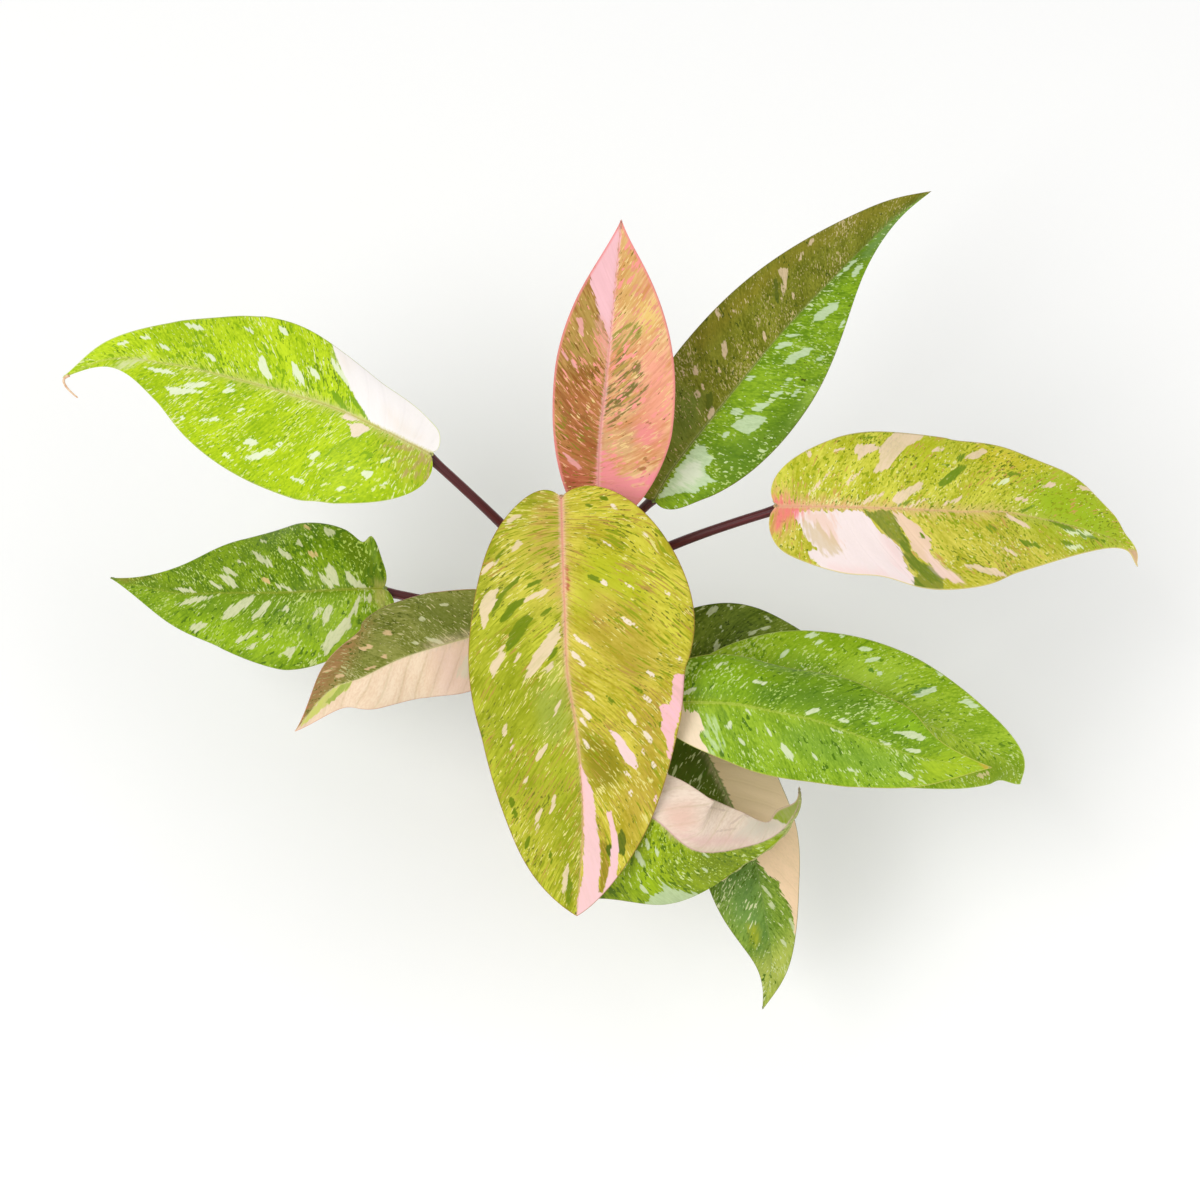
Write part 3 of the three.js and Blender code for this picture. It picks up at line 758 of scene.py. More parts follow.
def half_surface(leaf, side, sign, row, crossing):
    """Points of one half by row and share of the way from midrib to margin, with how far along
    the midrib, out from it and in from the margin each point lies in the flat leaf."""
    length = leaf["length"]
    edge = margin(side, length, row)
    root = length * np.maximum(0, (row - ROW_FAN) / (1 - ROW_FAN))
    distance = root + crossing * (edge[:, 0] - root)
    reach = crossing * edge[:, 1]
    point, along, out, right, share = rib_frame(leaf, distance)
    rise = quadratic(side["rise"], share)
    curl = side["curl"] / side["width"]
    across = (np.sin(rise + curl * reach) - np.sin(rise)) / curl
    lift = (np.cos(rise) - np.cos(rise + curl * reach)) / curl
    phase = WAVE_BY_SIDE * sign + WAVE_BY_NODE * leaf["node"]
    swing = np.sin(math.tau * (WAVE_COUNT * row + phase))
    wave = WAVE * crossing ** 2 * np.sin(math.pi * row) * swing
    place = point + right * (sign * across)[:, None] + out * (lift + wave)[:, None]
    whole = np.hypot(edge[:, 0] - root, edge[:, 1])
    return place, distance, reach, (1 - crossing) * whole


def vein_map(length, distance, reach):
    """How far points lie along and across the side veins. The veins leave the midrib squarely at
    its base and ever flatter towards its tip."""
    angle = np.radians(np.interp(VEIN_STATIONS, VEIN_SHARES, VEIN_ANGLES))
    pace = length * (VEIN_STATIONS[1] - VEIN_STATIONS[0])
    turned = np.interp(distance / length, VEIN_STATIONS, angle)
    along = np.interp(distance / length, VEIN_STATIONS, np.cumsum(np.cos(angle)) * pace)
    across = np.interp(distance / length, VEIN_STATIONS, np.cumsum(np.sin(angle)) * pace)
    return along + np.sin(turned) * reach, across - np.cos(turned) * reach


def inside_by(outline, spots):
    """How far spots lie inside an outline, less than 0 outside it."""
    corners = np.array(outline, float)
    nearest = np.full(len(spots), np.inf)
    inside = np.zeros(len(spots), bool)
    for start, end in zip(corners, np.roll(corners, -1, axis=0)):
        edge = end - start
        share = np.clip((spots - start) @ edge / (edge @ edge), 0, 1)
        gap = np.linalg.norm(spots - start - share[:, None] * edge, axis=1)
        nearest = np.minimum(nearest, gap)
        if edge[1] != 0:
            spans = (start[1] > spots[:, 1]) != (end[1] > spots[:, 1])
            cut = start[0] + (spots[:, 1] - start[1]) / edge[1] * edge[0]
            inside ^= spans & (spots[:, 0] < cut)
    return np.where(inside, nearest, -nearest)


def note(obj, name, values):
    """Keeps one number for each vertex, for the material to read."""
    kept = obj.data.attributes.new(name, "FLOAT", "POINT")
    kept.data.foreach_set("value", values)


def mark_depth(patch, spots, from_rib):
    """How far each vertex lies inside a mark, in pixels, on the side that the mark keeps to."""
    within = np.max([inside_by(outline, spots) for outline in patch["outlines"]], axis=0)
    if patch["side"]:
        sign = 1 if patch["side"] == "right" else -1
        within = np.minimum(within, sign * from_rib * PIXELS_PER_METRE)
    return within


def lay_blade(name, leaf, marks):
    """A grid laid out on the lines of the veins, closed to points at its ends and given flesh. A
    leaf's swells move its margin near a row of one side by a few millimetres."""
    leaf["route"] = smooth_route(leaf["rib"])
    leaf["length"] = leaf["route"][1][-1]
    leaf["node"] = LEAF_NODES[name]
    bpy.ops.object.select_all(action="DESELECT")
    bpy.ops.mesh.primitive_grid_add(x_subdivisions=BLADE_COLUMNS, y_subdivisions=BLADE_ROWS, size=2)
    blade = bpy.context.object
    blade.name = "leaf_" + name
    flat = read_places(blade)
    signed = np.sign(flat[:, 0]) * np.abs(flat[:, 0]) ** CROWDING
    crossing = np.abs(signed)
    row = (flat[:, 1] + 1) / 2
    is_left = signed < 0
    left = half_surface(leaf, leaf["left"], -1, row, crossing)
    right = half_surface(leaf, leaf["right"], 1, row, crossing)
    places, distance, reach, from_margin = (
        np.where(is_left[:, None], a, b) if a.ndim > 1 else np.where(is_left, a, b)
        for a, b in zip(left, right)
    )
    along_vein, across_vein = vein_map(leaf["length"], distance, reach)
    for swollen, at_row, spread, shift in leaf.get("swells", ()):
        swell = crossing ** 2 * np.exp(-((row - at_row) / spread) ** 2)
        swell = swell * (is_left == (swollen == "left"))
        places = places + swell[:, None] * np.array(shift) * MM
    write_places(blade, places)

    normals = np.empty(len(places) * 3)
    blade.data.vertices.foreach_get("normal", normals)
    normals = normals.reshape(-1, 3)
    at_end = (row < END_ROWS[0]) | (row > END_ROWS[1])
    normals[at_end] = rib_frame(leaf, row * leaf["length"])[2][at_end]
    rib_begins = smooth_share(row, *RIB_BEGINS)
    groove = np.exp(-(reach / GROOVE_REACH) ** 2)
    groove = -GROOVE_DEPTH * rib_begins * (1 - GROOVE_TAPER * row) * groove
    pillow = PILLOW * np.sin(math.pi * crossing) * np.sin(math.tau * across_vein / VEIN_SPACING)
    rise = HALF_THICKNESS + groove + pillow * np.sin(math.pi * row)
    write_places(blade, places + normals * rise[:, None])

    veins = blade.data.uv_layers[0]
    veins.name = "veins"
    corners = np.empty(len(blade.data.loops), int)
    blade.data.loops.foreach_get("vertex_index", corners)
    veins.data.foreach_set("uv", np.column_stack([along_vein, across_vein])[corners].ravel())
    from_rib = np.where(is_left, -reach, reach)
    note(blade, "from_rib", from_rib)
    note(blade, "from_margin", from_margin)
    note(blade, "row", row)
    spots = photo_spots(places)
    for i, patch in enumerate(marks):
        note(blade, "mark_%d" % i, mark_depth(patch, spots, from_rib))

    flesh = blade.vertex_groups.new(name="flesh")
    full = BLADE_FLESH + RIB_DEPTH
    ridge = RIB_DEPTH * rib_begins * (1 - RIB_TAPER * row) * np.exp(-(reach / RIB_REACH) ** 2)
    thin_margin = 1 - MARGIN_THINNING * np.exp(-from_margin / MARGIN_BEVEL)
    thickness = (BLADE_FLESH * thin_margin + ridge) / full
    for i, share in enumerate(thickness):
        flesh.add([i], float(share), "REPLACE")
    edit(blade)
    bpy.ops.mesh.remove_doubles(threshold=SAME_PLACE)
    done()
    count = len(blade.data.vertices)
    apply_modifier(blade, "SOLIDIFY", thickness=full, offset=-1, vertex_group="flesh")
    note(blade, "underside", (np.arange(len(blade.data.vertices)) >= count).astype(float))
    smooth(blade)
    return blade


CROWD_SIZE = {"Length": 22 * MM, "Width": 16 * MM}
CROWD_PULL = 0.42
FLECK_EDGE = 0.025
FRAY_PULL = 4.0
GROUND_SHOWS = (0.4, 0.56)
# Corners of a dash: shares of its length and of half its width
SPINDLE = [(0, 0), (0.3, 1), (0.8, 0.8), (1, 0), (0.7, -1), (0.2, -0.8)]

# Streaks: noise drawn out along the side veins, from 0 to 1
streaks, given, gives = effect("vein_streaks", "Veins", ["Length", "Width", "Seed"], ["Value"])
axes = add(streaks, "ShaderNodeSeparateXYZ", {0: given["Veins"]}).outputs
stretched = add(streaks, "ShaderNodeCombineXYZ", {
    0: number(streaks, "DIVIDE", axes[0], given["Length"]),
    1: number(streaks, "DIVIDE", axes[1], given["Width"]),
    2: given["Seed"],
}).outputs[0]
streaks.links.new(noise(streaks, stretched, 1.0, 2.0, 0.5), gives["Value"])

# Flecks: ragged dashes along the side veins, thick in some places and thin in others
fleck_inputs = ["Length", "Width", "Level", "Seed"]
flecks, given, gives = effect("vein_flecks", "Veins", fleck_inputs, ["Mask"])
grown = {"Veins": given["Veins"], "Seed": given["Seed"]}
dash = use(flecks, streaks, Length=given["Length"], Width=given["Width"], **grown)["Value"]
crowd = use(flecks, streaks, **CROWD_SIZE, **grown)["Value"]
crowded = number(flecks, "MULTIPLY", number(flecks, "SUBTRACT", crowd, 0.5), CROWD_PULL)
height = number(flecks, "SUBTRACT", number(flecks, "ADD", dash, crowded), given["Level"])
flecks.links.new(step(flecks, height, 0.0, FLECK_EDGE), gives["Mask"])

# A mark: a drawn patch whose edge frays along the side veins
mark_edge, given, gives = effect("mark_edge", None, ["Within", "Grain", "Fray", "Soft"], ["Mask"])
swing = number(mark_edge, "SUBTRACT", given["Grain"], 0.5)
swing = number(mark_edge, "MULTIPLY", swing, given["Fray"])
moved = number(mark_edge, "ADD", given["Within"], number(mark_edge, "MULTIPLY", swing, FRAY_PULL))
low = number(mark_edge, "MULTIPLY", given["Soft"], -1.0)
mark_edge.links.new(step(mark_edge, moved, low, given["Soft"]), gives["Mask"])


def mark(colour, *outlines, **more):
    """A patch of colour by its outlines in the photograph's pixels, on one side of the midrib or
    on both. Its edge frays along the veins and is soft over some pixels. Under means that flecks
    lie over it, streaky that the ground shows through along the veins, and veil how much of the
    ground shows faintly in the rest."""
    patch = {
        "side": None, "fray": 3.0, "soft": 0.6, "strength": 1.0, "under": False, "streaky": False,
        "veil": 0.25,
    }
    return {**patch, "colour": colour, "outlines": outlines, **more}


def wash(colour, soft, strength, *outlines, **more):
    """A soft tint of the ground, with the flecks over it."""
    return mark(colour, *outlines, soft=soft, strength=strength, under=True, **more)


def dashes(*rows):
    """Outlines of spindle-shaped dashes, each from one pixel to another with a width."""
    outlines = []
    for x0, y0, x1, y1, width in rows:
        along = np.array([x1 - x0, y1 - y0], float)
        side = np.array([-along[1], along[0]]) / np.linalg.norm(along) * width / 2
        outlines.append([(x0, y0) + share * along + out * side for share, out in SPINDLE])
    return outlines


def noted(tree, name):
    """A number that a vertex keeps."""
    return add(tree, "ShaderNodeAttribute", attribute_name=name).outputs["Fac"]


def paint_marks(tree, grain, mottle, colour, marks, under):
    """Lays the drawn patches over a colour, in their order."""
    for i, patch in enumerate(marks):
        if patch["under"] == under:
            mask = use(tree, mark_edge, Within=noted(tree, "mark_%d" % i), Grain=grain,
                       Fray=patch["fray"], Soft=patch["soft"])["Mask"]
            full = patch["strength"]
            body = between(tree, mottle, full * (1 - patch["veil"]), full)
            mask = number(tree, "MULTIPLY", mask, body)
            if patch["streaky"]:
                mask = number(tree, "MULTIPLY", mask, step(tree, grain, *GROUND_SHOWS))
            colour = blend(tree, mask, colour, paint(patch["colour"]))
    return colour


# The broad, grained, fine and long streaks of the ground: millimetres along and across the veins
STREAK_SIZES = [(24, 9), (7, 1.3), (2, 0.8), (20, 1.0)]
BROAD_WEIGHT = 0.36
GRAIN_WEIGHT = 0.26
FINE_WEIGHT = 0.38
MOTTLE_SPAN = (0.37, 0.63)
LEAF_SEED = 11.0
SIDE_SEED = 5.3
LAYER_SEED = 2.7
VEIN_LINE = 0.8 * MM
VEIN_STRENGTH = 0.25
GLOW_FRAY = 9 * MM
RIB_FRAY = 1.3
RIB_SOFTNESS = 1.3
RIB_GROOVE = 0.55
MARGIN_FULL = 0.2
MARGIN_STRENGTH = 0.8
UNDERSIDE_STRENGTH = 0.45
USUAL_GLOSS = 0.42
GLOSS_SPREAD = 0.14
FURROW_RELIEF = 0.5
GRAIN_RELIEF = 0.4
FINE_RELIEF = 0.3
SKIN_RELIEF = 0.12 * MM


def blade_finish(name, look, marks):
    """Living leaf: streaked ground, flecks, drawn patches, midrib and margin."""
    finish, tree = new_finish("blade_" + name)
    veins = add(tree, "ShaderNodeUVMap", uv_map="veins").outputs[0]
    from_rib = noted(tree, "from_rib")
    gap = number(tree, "ABSOLUTE", from_rib)
    row = noted(tree, "row")
    is_right = number(tree, "GREATER_THAN", from_rib, 0.0)
    seed = number(tree, "MULTIPLY", is_right, SIDE_SEED)
    seed = number(tree, "ADD", seed, LEAF_SEED * int(name))

    def by_side(left, right):
        """A value or colour that changes at the midrib."""
        if isinstance(left, str):
            return blend(tree, is_right, paint(left), paint(right))
        return between(tree, is_right, left, right)

    def less(whole, part):
        """One value less another."""
        return number(tree, "SUBTRACT", whole, part)

    def times(a, b):
        """The product of two values."""
        return number(tree, "MULTIPLY", a, b)

    broad, grain, fine, long = (
        use(tree, streaks, Veins=veins, Length=length * MM, Width=width * MM, Seed=seed)["Value"]
        for length, width in STREAK_SIZES
    )
    streaky = look.get("streaky", 0.0)
    mixed = weigh(tree, (broad, BROAD_WEIGHT), (grain, GRAIN_WEIGHT), (long, streaky),
                  (fine, FINE_WEIGHT - streaky))
    mottle = step(tree, mixed, *MOTTLE_SPAN)
    colour = blend(tree, mottle, by_side(*look["deep"]), by_side(*look["light"]))

    across = add(tree, "ShaderNodeSeparateXYZ", {0: veins}).outputs[1]
    furrow = step(tree, number(tree, "PINGPONG", across, 0.5 * VEIN_SPACING), 0.0, VEIN_LINE)
    # Darker lines along the side veins: partly the veins' own colour, partly painted shade in their
    # furrows.
    vein_tint_and_shade = times(less(1.0, furrow), VEIN_STRENGTH)
    colour = blend(tree, vein_tint_and_shade, colour, paint(VEIN_TINT_AND_SHADE), "MULTIPLY")
    glow_tint, glow_width, glow_strength = look["glow"]
    glow_edge = number(tree, "ADD", gap, times(less(0.5, grain), GLOW_FRAY))
    glow = times(step(tree, glow_edge, glow_width * MM, 0.0), glow_strength)
    colour = blend(tree, times(glow, less(1.0, row)), colour, paint(glow_tint))
    colour = paint_marks(tree, grain, mottle, colour, marks, True)

    for layer, (tint, length, width, left, right) in enumerate(look["flecks"]):
        level = left if left == right else by_side(left, right)
        own_seed = number(tree, "ADD", seed, LAYER_SEED * layer + 1.0)
        mask = use(tree, flecks, Veins=veins, Length=length * MM, Width=width * MM, Level=level,
                   Seed=own_seed)["Mask"]
        colour = blend(tree, mask, colour, paint(tint))
    colour = paint_marks(tree, grain, mottle, colour, marks, False)

    rib_deep, rib_pale, rib_width, rib_fade = look["rib"]
    taper = less(1.0, times(row, rib_fade))
    rib_line = times(taper, rib_width * MM)
    fringe = times(less(0.5, fine), RIB_FRAY * rib_width * MM)
    on_rib = step(tree, number(tree, "ADD", gap, fringe), times(rib_line, RIB_SOFTNESS), 0.0)
    in_groove = step(tree, gap, times(rib_line, RIB_GROOVE), 0.0)
    rib_colour = blend(tree, in_groove, paint(rib_pale), paint(rib_deep))
    colour = blend(tree, times(on_rib, taper), colour, rib_colour)
    # On the bright green leaves the margin tint is paler than the blade: partly the margin's own colour,
    # partly painted light that evens out the shade on the rim of the edge.
    margin_tint, margin_width = look["margin"]
    margin_width *= MM
    on_margin = step(tree, noted(tree, "from_margin"), margin_width, MARGIN_FULL * margin_width)
    colour = blend(tree, times(on_margin, MARGIN_STRENGTH), colour, paint(margin_tint))
    below = times(noted(tree, "underside"), UNDERSIDE_STRENGTH)
    colour = blend(tree, below, colour, paint(look["under"]))

    surface = weigh(tree, (furrow, FURROW_RELIEF), (grain, GRAIN_RELIEF), (fine, FINE_RELIEF))
    gloss = look.get("gloss", USUAL_GLOSS)
    close_finish(
        tree,
        Base_Color=colour,
        Roughness=between(tree, fine, gloss, gloss + GLOSS_SPREAD),
        Specular_IOR_Level=0.15,
        Normal=relief(tree, surface, SKIN_RELIEF),
    )
    return finish


leaves = {}


def grow_leaf(name, slot, leaf, look, *marks):
    """One finished leaf blade, kept for its stalk."""
    blade = lay_blade(name, leaf, marks)
    hand_over(blade, blade_finish(name, look, marks), slot, "blade_" + name)
    leaves[name] = leaf


# Leaf 01, the oldest, hangs low at the front right. Its right half is dark green, with painted shade
# on its upper part, and clears to lime at the tip; most of its left half grew without green, a flat
# peach.

grow_leaf(
    "01", "leaf_dark",
    {
        "rib": [(47, -35, 160), (63, -68, 157), (74, -89, 148), (84, -107, 138), (89, -128, 127),
            (94, -158, 111), (90, -179, 98)],
        "face": [(0, -0.3, 0.9), (0, -0.7, 0.7)],
        "left": half(31, 0.34, 8, (0.3, 0.17, 0.31), (-10, -20, -10), -22),
        "right": half(28, 0.5, 8, (0.5, 0.3, 0.1), (0, -10, 0), -12),
    },
    {
        "deep": ("#5E7E16", "#5A7A16"), "light": ("#98B23E", "#8EA83A"),
        "flecks": [("#4E6C0C", 3.0, 1.0, 0.65, 0.65), ("#C3CE90", 2.2, 0.7, 0.66, 0.66),
            ("#C9D09A", 5.0, 1.1, 0.68, 0.68)],
        "rib": ("#5C7A34", "#8A9E50", 0.9, 0.6), "glow": ("#587C3C", 2, 0.4), "margin": ("#8A8A3A", 0.5),
        "under": "#8FA070",
    },
    # Painted shade: the upper part of the right half is darkened where the leaves over it shade it.
    wash("#465208", 14, 0.85, [(640, 740), (720, 740), (760, 800), (748, 850), (716, 868), (640, 860)]),
    wash("#B9C05A", 18, 0.8, [(742, 975), (800, 930), (790, 985), (762, 1012)]),
    wash("#5E8844", 14, 0.65, [(712, 870), (750, 850), (765, 885), (775, 925), (762, 950), (735, 925)],
        side="right"),
    wash("#A8AC14", 5, 0.7, [(747, 925), (758, 926), (761, 942), (752, 947)]),
    mark("#F8D6B0", [(700, 740), (711, 760), (726, 789), (733, 805), (750, 846), (757, 858), (758, 864),
        (768, 874), (779, 883), (780, 888), (776, 887), (785, 898), (792, 914), (795, 935), (806, 940),
        (810, 840), (790, 770)], side="left", fray=2.5, veil=0.1),
    mark("#F2D6B2", [(700, 740), (715, 770), (735, 810), (775, 822), (795, 800), (790, 765)], side="left",
        soft=9, strength=0.8, veil=0.1),
    mark("#C6CF9C", *dashes((704, 771, 696, 793, 4), (691, 780, 687, 800, 3), (676, 765, 671, 786, 3),
        (762, 885, 772, 898, 4), (769, 902, 775, 909, 5), (781, 940, 787, 946, 5),
        (789, 918, 794, 930, 3)), fray=2),
)

# Leaf 02 lies under leaf 04 at the right. It is the darkest green, with a few pale specks.

grow_leaf(
    "02", "leaf_dark",
    {
        "rib": [(36, -22, 184), (58, -29, 190), (82, -34, 190), (107, -39, 182), (133, -46, 170),
            (161, -55, 154)],
        "face": [(0, -0.2, 1), (0, -0.3, 0.95)],
        "left": half(31, 0.3, 12, (0.3, 0.28, 0.25), (4, 0, 0), -10),
        "right": half(25, 0.45, 3, (0.35, 0.3, 0.25), (0, 0, 0), -12),
    },
    {
        "deep": ("#4C6008", "#4C6008"), "light": ("#7A8C2C", "#7A8C2C"),
        "flecks": [("#3E4E04", 3.0, 1.1, 0.63, 0.63), ("#98A458", 1.8, 0.8, 0.64, 0.64),
            ("#B4BC80", 3.5, 1.0, 0.67, 0.67)],
        "rib": ("#5C6A2A", "#7C8C40", 0.9, 0.6), "glow": ("#5C7010", 2, 0.3), "margin": ("#5E6A24", 0.5),
        "under": "#8FA070",
    },
    mark("#CBD2A8", [(707, 614), (710, 608), (716, 605), (719, 609), (713, 614), (708, 617)], [(714, 648),
        (717, 638), (720, 645), (715, 651)], *dashes((727, 603, 733, 610, 4), (747, 636, 758, 630, 3),
        (759, 630, 771, 627, 3), (719, 624, 723, 632, 3), (764, 617, 771, 621, 3),
        (737, 640, 742, 648, 3)), fray=2),
)

# Leaf 03 reaches out low at the left, bright green and flecked with white along its veins.

grow_leaf(
    "03", "leaf_green",
    {
        "rib": [(-99, 13, 182), (-118, 11, 185), (-152, 13, 177), (-180, 19, 164), (-209, 27, 147),
            (-249, 48, 121)],
        "face": [(0, -0.2, 1), (-0.2, -0.3, 0.9)],
        "left": half(39, 0.3, 14, (0.12, 0.45, 0.3), (5, 3, 4), -30),
        "right": half(42, 0.3, 7, (0.25, 0.4, 0.1), (10, 0, 5), -45),
        "swells": [("right", 0.15, 0.028, (-0.5, 6.5, 5.5)), ("left", 0.75, 0.15, (-0.4, -1.2, 0))],
    },
    {
        "deep": ("#648804", "#587A00"), "light": ("#96B61C", "#88A614"),
        "flecks": [("#527404", 4.0, 1.8, 0.62, 0.6), ("#AEC45A", 2.0, 0.9, 0.63, 0.63),
            ("#C0CE84", 4.0, 1.0, 0.67, 0.675)],
        "rib": ("#7E8A1C", "#A4AC3C", 1.0, 0.7), "glow": ("#6C8206", 5, 0.5), "margin": ("#A0B050", 0.5),
        "under": "#A2B47C",
    },
    wash("#9CC010", 12, 0.6, [(180, 626), (240, 648), (320, 660), (326, 640), (250, 630), (200, 612)]),
    wash("#587C10", 10, 0.55, [(196, 600), (260, 596), (300, 604), (292, 620), (240, 618), (205, 614)]),
    wash("#5E7C04", 6, 0.65, [(120, 582), (200, 586), (250, 590), (310, 588), (370, 586), (300, 602),
        (180, 592)]),
    # Darker green by the ear fold at the upper right: partly the leaf's own colour, partly painted shade
    # along the fold.
    wash("#566E06", 8, 0.65, [(336, 530), (362, 540), (380, 570), (382, 584), (362, 578), (345, 556)]),
    mark("#D2D4A8", [(345, 571), (349, 572), (356, 579), (370, 589), (361, 589), (352, 586), (346, 579)],
        [(325, 569), (328, 564), (333, 565), (336, 573), (340, 586), (333, 586), (326, 575)], [(323, 656),
        (322, 645), (328, 634), (345, 619), (351, 620), (352, 626), (340, 639), (327, 656)],
        *dashes((220, 620, 258, 595, 10), (252, 620, 272, 600, 7), (189, 630, 208, 624, 7),
        (235, 643, 258, 631, 5), (285, 656, 296, 646, 7), (313, 619, 321, 604, 5),
        (323, 626, 331, 604, 8), (349, 620, 363, 593, 5), (364, 604, 371, 594, 5),
        (318, 573, 335, 589, 6), (253, 552, 273, 567, 7), (221, 568, 239, 576, 5),
        (217, 574, 240, 588, 7), (211, 582, 225, 589, 4), (174, 589, 197, 592, 4),
        (323, 526, 336, 539, 6), (279, 550, 292, 559, 5), (176, 605, 213, 596, 5),
        (276, 584, 296, 592, 4), (303, 567, 313, 577, 5), (284, 612, 290, 607, 6),
        (238, 561, 248, 564, 3), (296, 541, 304, 547, 4), (262, 640, 270, 634, 4),
        (245, 650, 257, 643, 4), (260, 541, 268, 543, 3)), fray=2.4, veil=0.3),
    mark("#D8BC7C", *dashes((309, 550, 318, 558, 5), (304, 526, 312, 530, 4), (262, 578, 270, 583, 3)),
        fray=2),
    mark("#B8B060", [(374, 580), (386, 582), (388, 600), (384, 612), (374, 600)], soft=5, strength=0.7),
    mark("#C0CC60", [(362, 534), (364, 527), (371, 526), (373, 536), (370, 542), (364, 540)], soft=3,
        strength=0.85),
    wash("#8E7A34", 6, 0.7, [(112, 577), (128, 582), (158, 576), (130, 576)]),
)

# Leaf 04 lies over leaf 02 at the right, plain green and paler towards its blunt curled end.

grow_leaf(
    "04", "leaf_green",
    {
        "rib": [(52, -61, 193), (70, -53, 200), (96, -52, 202), (125, -55, 197), (155, -58, 188),
            (187, -66, 176), (209, -73, 165), (217, -80, 152)],
        "face": [(0, -0.2, 1), (0, -0.3, 0.95)],
        "left": half(35, 0.42, 8, (0.3, 0.2, 0.45), (0, 2, 0), -24),
        "right": half(37, 0.5, 8, (0.35, 0.15, 0.45), (0, 0, 0), -13),
    },
    {
        "deep": ("#769C00", "#7EA200"), "light": ("#A6C42E", "#B4CE38"),
        "flecks": [("#64880A", 3.5, 1.5, 0.64, 0.64), ("#BCD070", 1.8, 0.8, 0.64, 0.64),
            ("#C8DA8E", 3.0, 1.0, 0.67, 0.67)],
        "rib": ("#9AAE34", "#BCCB62", 0.9, 0.6), "glow": ("#A8C43C", 4, 0.4), "margin": ("#C4D474", 0.6),
        "under": "#A2B47C",
    },
    wash("#6C9420", 14, 0.6, [(770, 662), (800, 650), (830, 668), (820, 690), (790, 680)]),
    wash("#ACCA3C", 18, 0.7, [(840, 662), (900, 662), (910, 684), (870, 692), (840, 682)]),
    wash("#7A9E08", 8, 0.6, [(790, 634), (850, 634), (900, 652), (850, 650), (800, 645)]),
    mark("#D0E0B8", [(912, 695), (920, 689), (936, 687), (936, 692), (920, 697)], [(959, 702), (965, 698),
        (974, 703), (983, 708), (970, 708)], [(779, 655), (786, 649), (790, 650), (785, 657), (777, 658),
        (773, 664)], *dashes((804, 637, 820, 634, 4), (838, 635, 846, 636, 4), (857, 649, 873, 650, 4),
        (864, 661, 881, 659, 5), (875, 670, 883, 676, 4), (935, 671, 943, 676, 4),
        (800, 664, 806, 671, 3), (815, 646, 822, 641, 3), (896, 678, 904, 676, 3)), fray=2),
    mark("#55831C", *dashes((910, 693, 930, 687, 4), (925, 664, 930, 668, 3), (868, 668, 874, 672, 3))),
    wash("#7C9420", 12, 0.7, [(960, 775), (990, 760), (1028, 758), (1026, 784), (980, 786)]),
    mark("#D8CC90", *dashes((976, 776, 988, 773, 5))),
)

# Leaf 05 twists under the front of the plant. Its left half is cream, faintly wrinkled and
# flushed with rose, and its right half is lime with a mint patch.

grow_leaf(
    "05", "leaf_cream",
    {
        "rib": [(4, -96, 205), (34, -116, 202), (55, -129, 192), (81, -122, 180), (96, -112, 172),
            (105, -99, 170), (106, -89, 172)],
        "face": [(0, -0.5, 0.85), (0, -0.5, 0.85)],
        "left": half(26, 0.5, 4, (0.3, 0.6, 0.1), (-5, -9, -10), -16),
        "right": half(65, 0.3, 8, (0.2, 0.74, 0.03), (-7, -34, -27), -6),
        "swells": [("left", 0.9, 0.05, (-3.6, 3.2, 2.6))],
    },
    {
        "deep": ("#E0C8B4", "#6C8600"), "light": ("#F0DCCA", "#A2BA18"),
        "flecks": [("#587602", 3.5, 1.5, 1.0, 0.62), ("#B8CC60", 1.8, 0.8, 1.0, 0.645),
            ("#CAD888", 4.0, 1.2, 1.0, 0.665)],
        "rib": ("#C79A9C", "#E0BCB0", 0.9, 0.6), "glow": ("#C8C090", 2, 0.3), "margin": ("#DDB7A6", 0.5),
        "under": "#C3B594", "gloss": 0.45,
    },
    # Painted shadow: the lime half darkens just under the fold, where the cream half overhangs it.
    wash("#708204", 12, 0.6, [(690, 850), (740, 852), (745, 862), (705, 885), (690, 880)], side="right"),
    wash("#9CBC08", 10, 0.7, [(615, 880), (640, 860), (668, 885), (650, 902)], side="right"),
    mark("#E2B2A0", [(666, 806), (690, 804), (697, 824), (680, 834), (666, 822)], side="left", soft=11,
        strength=0.6),
    mark("#D8A8A4", [(675, 834), (700, 846), (748, 843), (745, 836), (700, 838)], side="left", soft=8,
        strength=0.65),
    mark("#D3CAB8", [(748, 815), (795, 822), (760, 838), (735, 838)], side="left", soft=9, strength=0.8),
    mark("#C0A898", *dashes((703, 806, 730, 812, 2), (728, 826, 744, 814, 2), (715, 832, 740, 828, 2),
        (741, 808, 747, 818, 3), (751, 811, 747, 818, 2)), side="left", fray=1, strength=0.55),
    mark("#BED0A0", [(645, 903), (655, 893), (664, 890), (660, 878), (671, 886), (686, 892), (698, 892),
        (693, 904), (668, 912)], side="right", fray=3),
    mark("#CCD8A8", *dashes((636, 849, 645, 868, 6), (646, 838, 650, 851, 4), (656, 846, 659, 856, 3),
        (702, 867, 708, 873, 4), (700, 852, 712, 858, 3), (640, 884, 648, 893, 4)), side="right",
        fray=1.5),
    mark("#8EA214", [(756, 816), (781, 804), (794, 786), (803, 782), (803, 808), (793, 822), (786, 824),
        (770, 818)], side="left", fray=1, soft=1),
)

# Leaf 06 hangs at the front left. Its right half is a dull dark olive that browns at the margin,
# and its left half is cream with one lime wedge along the midrib near the tip.

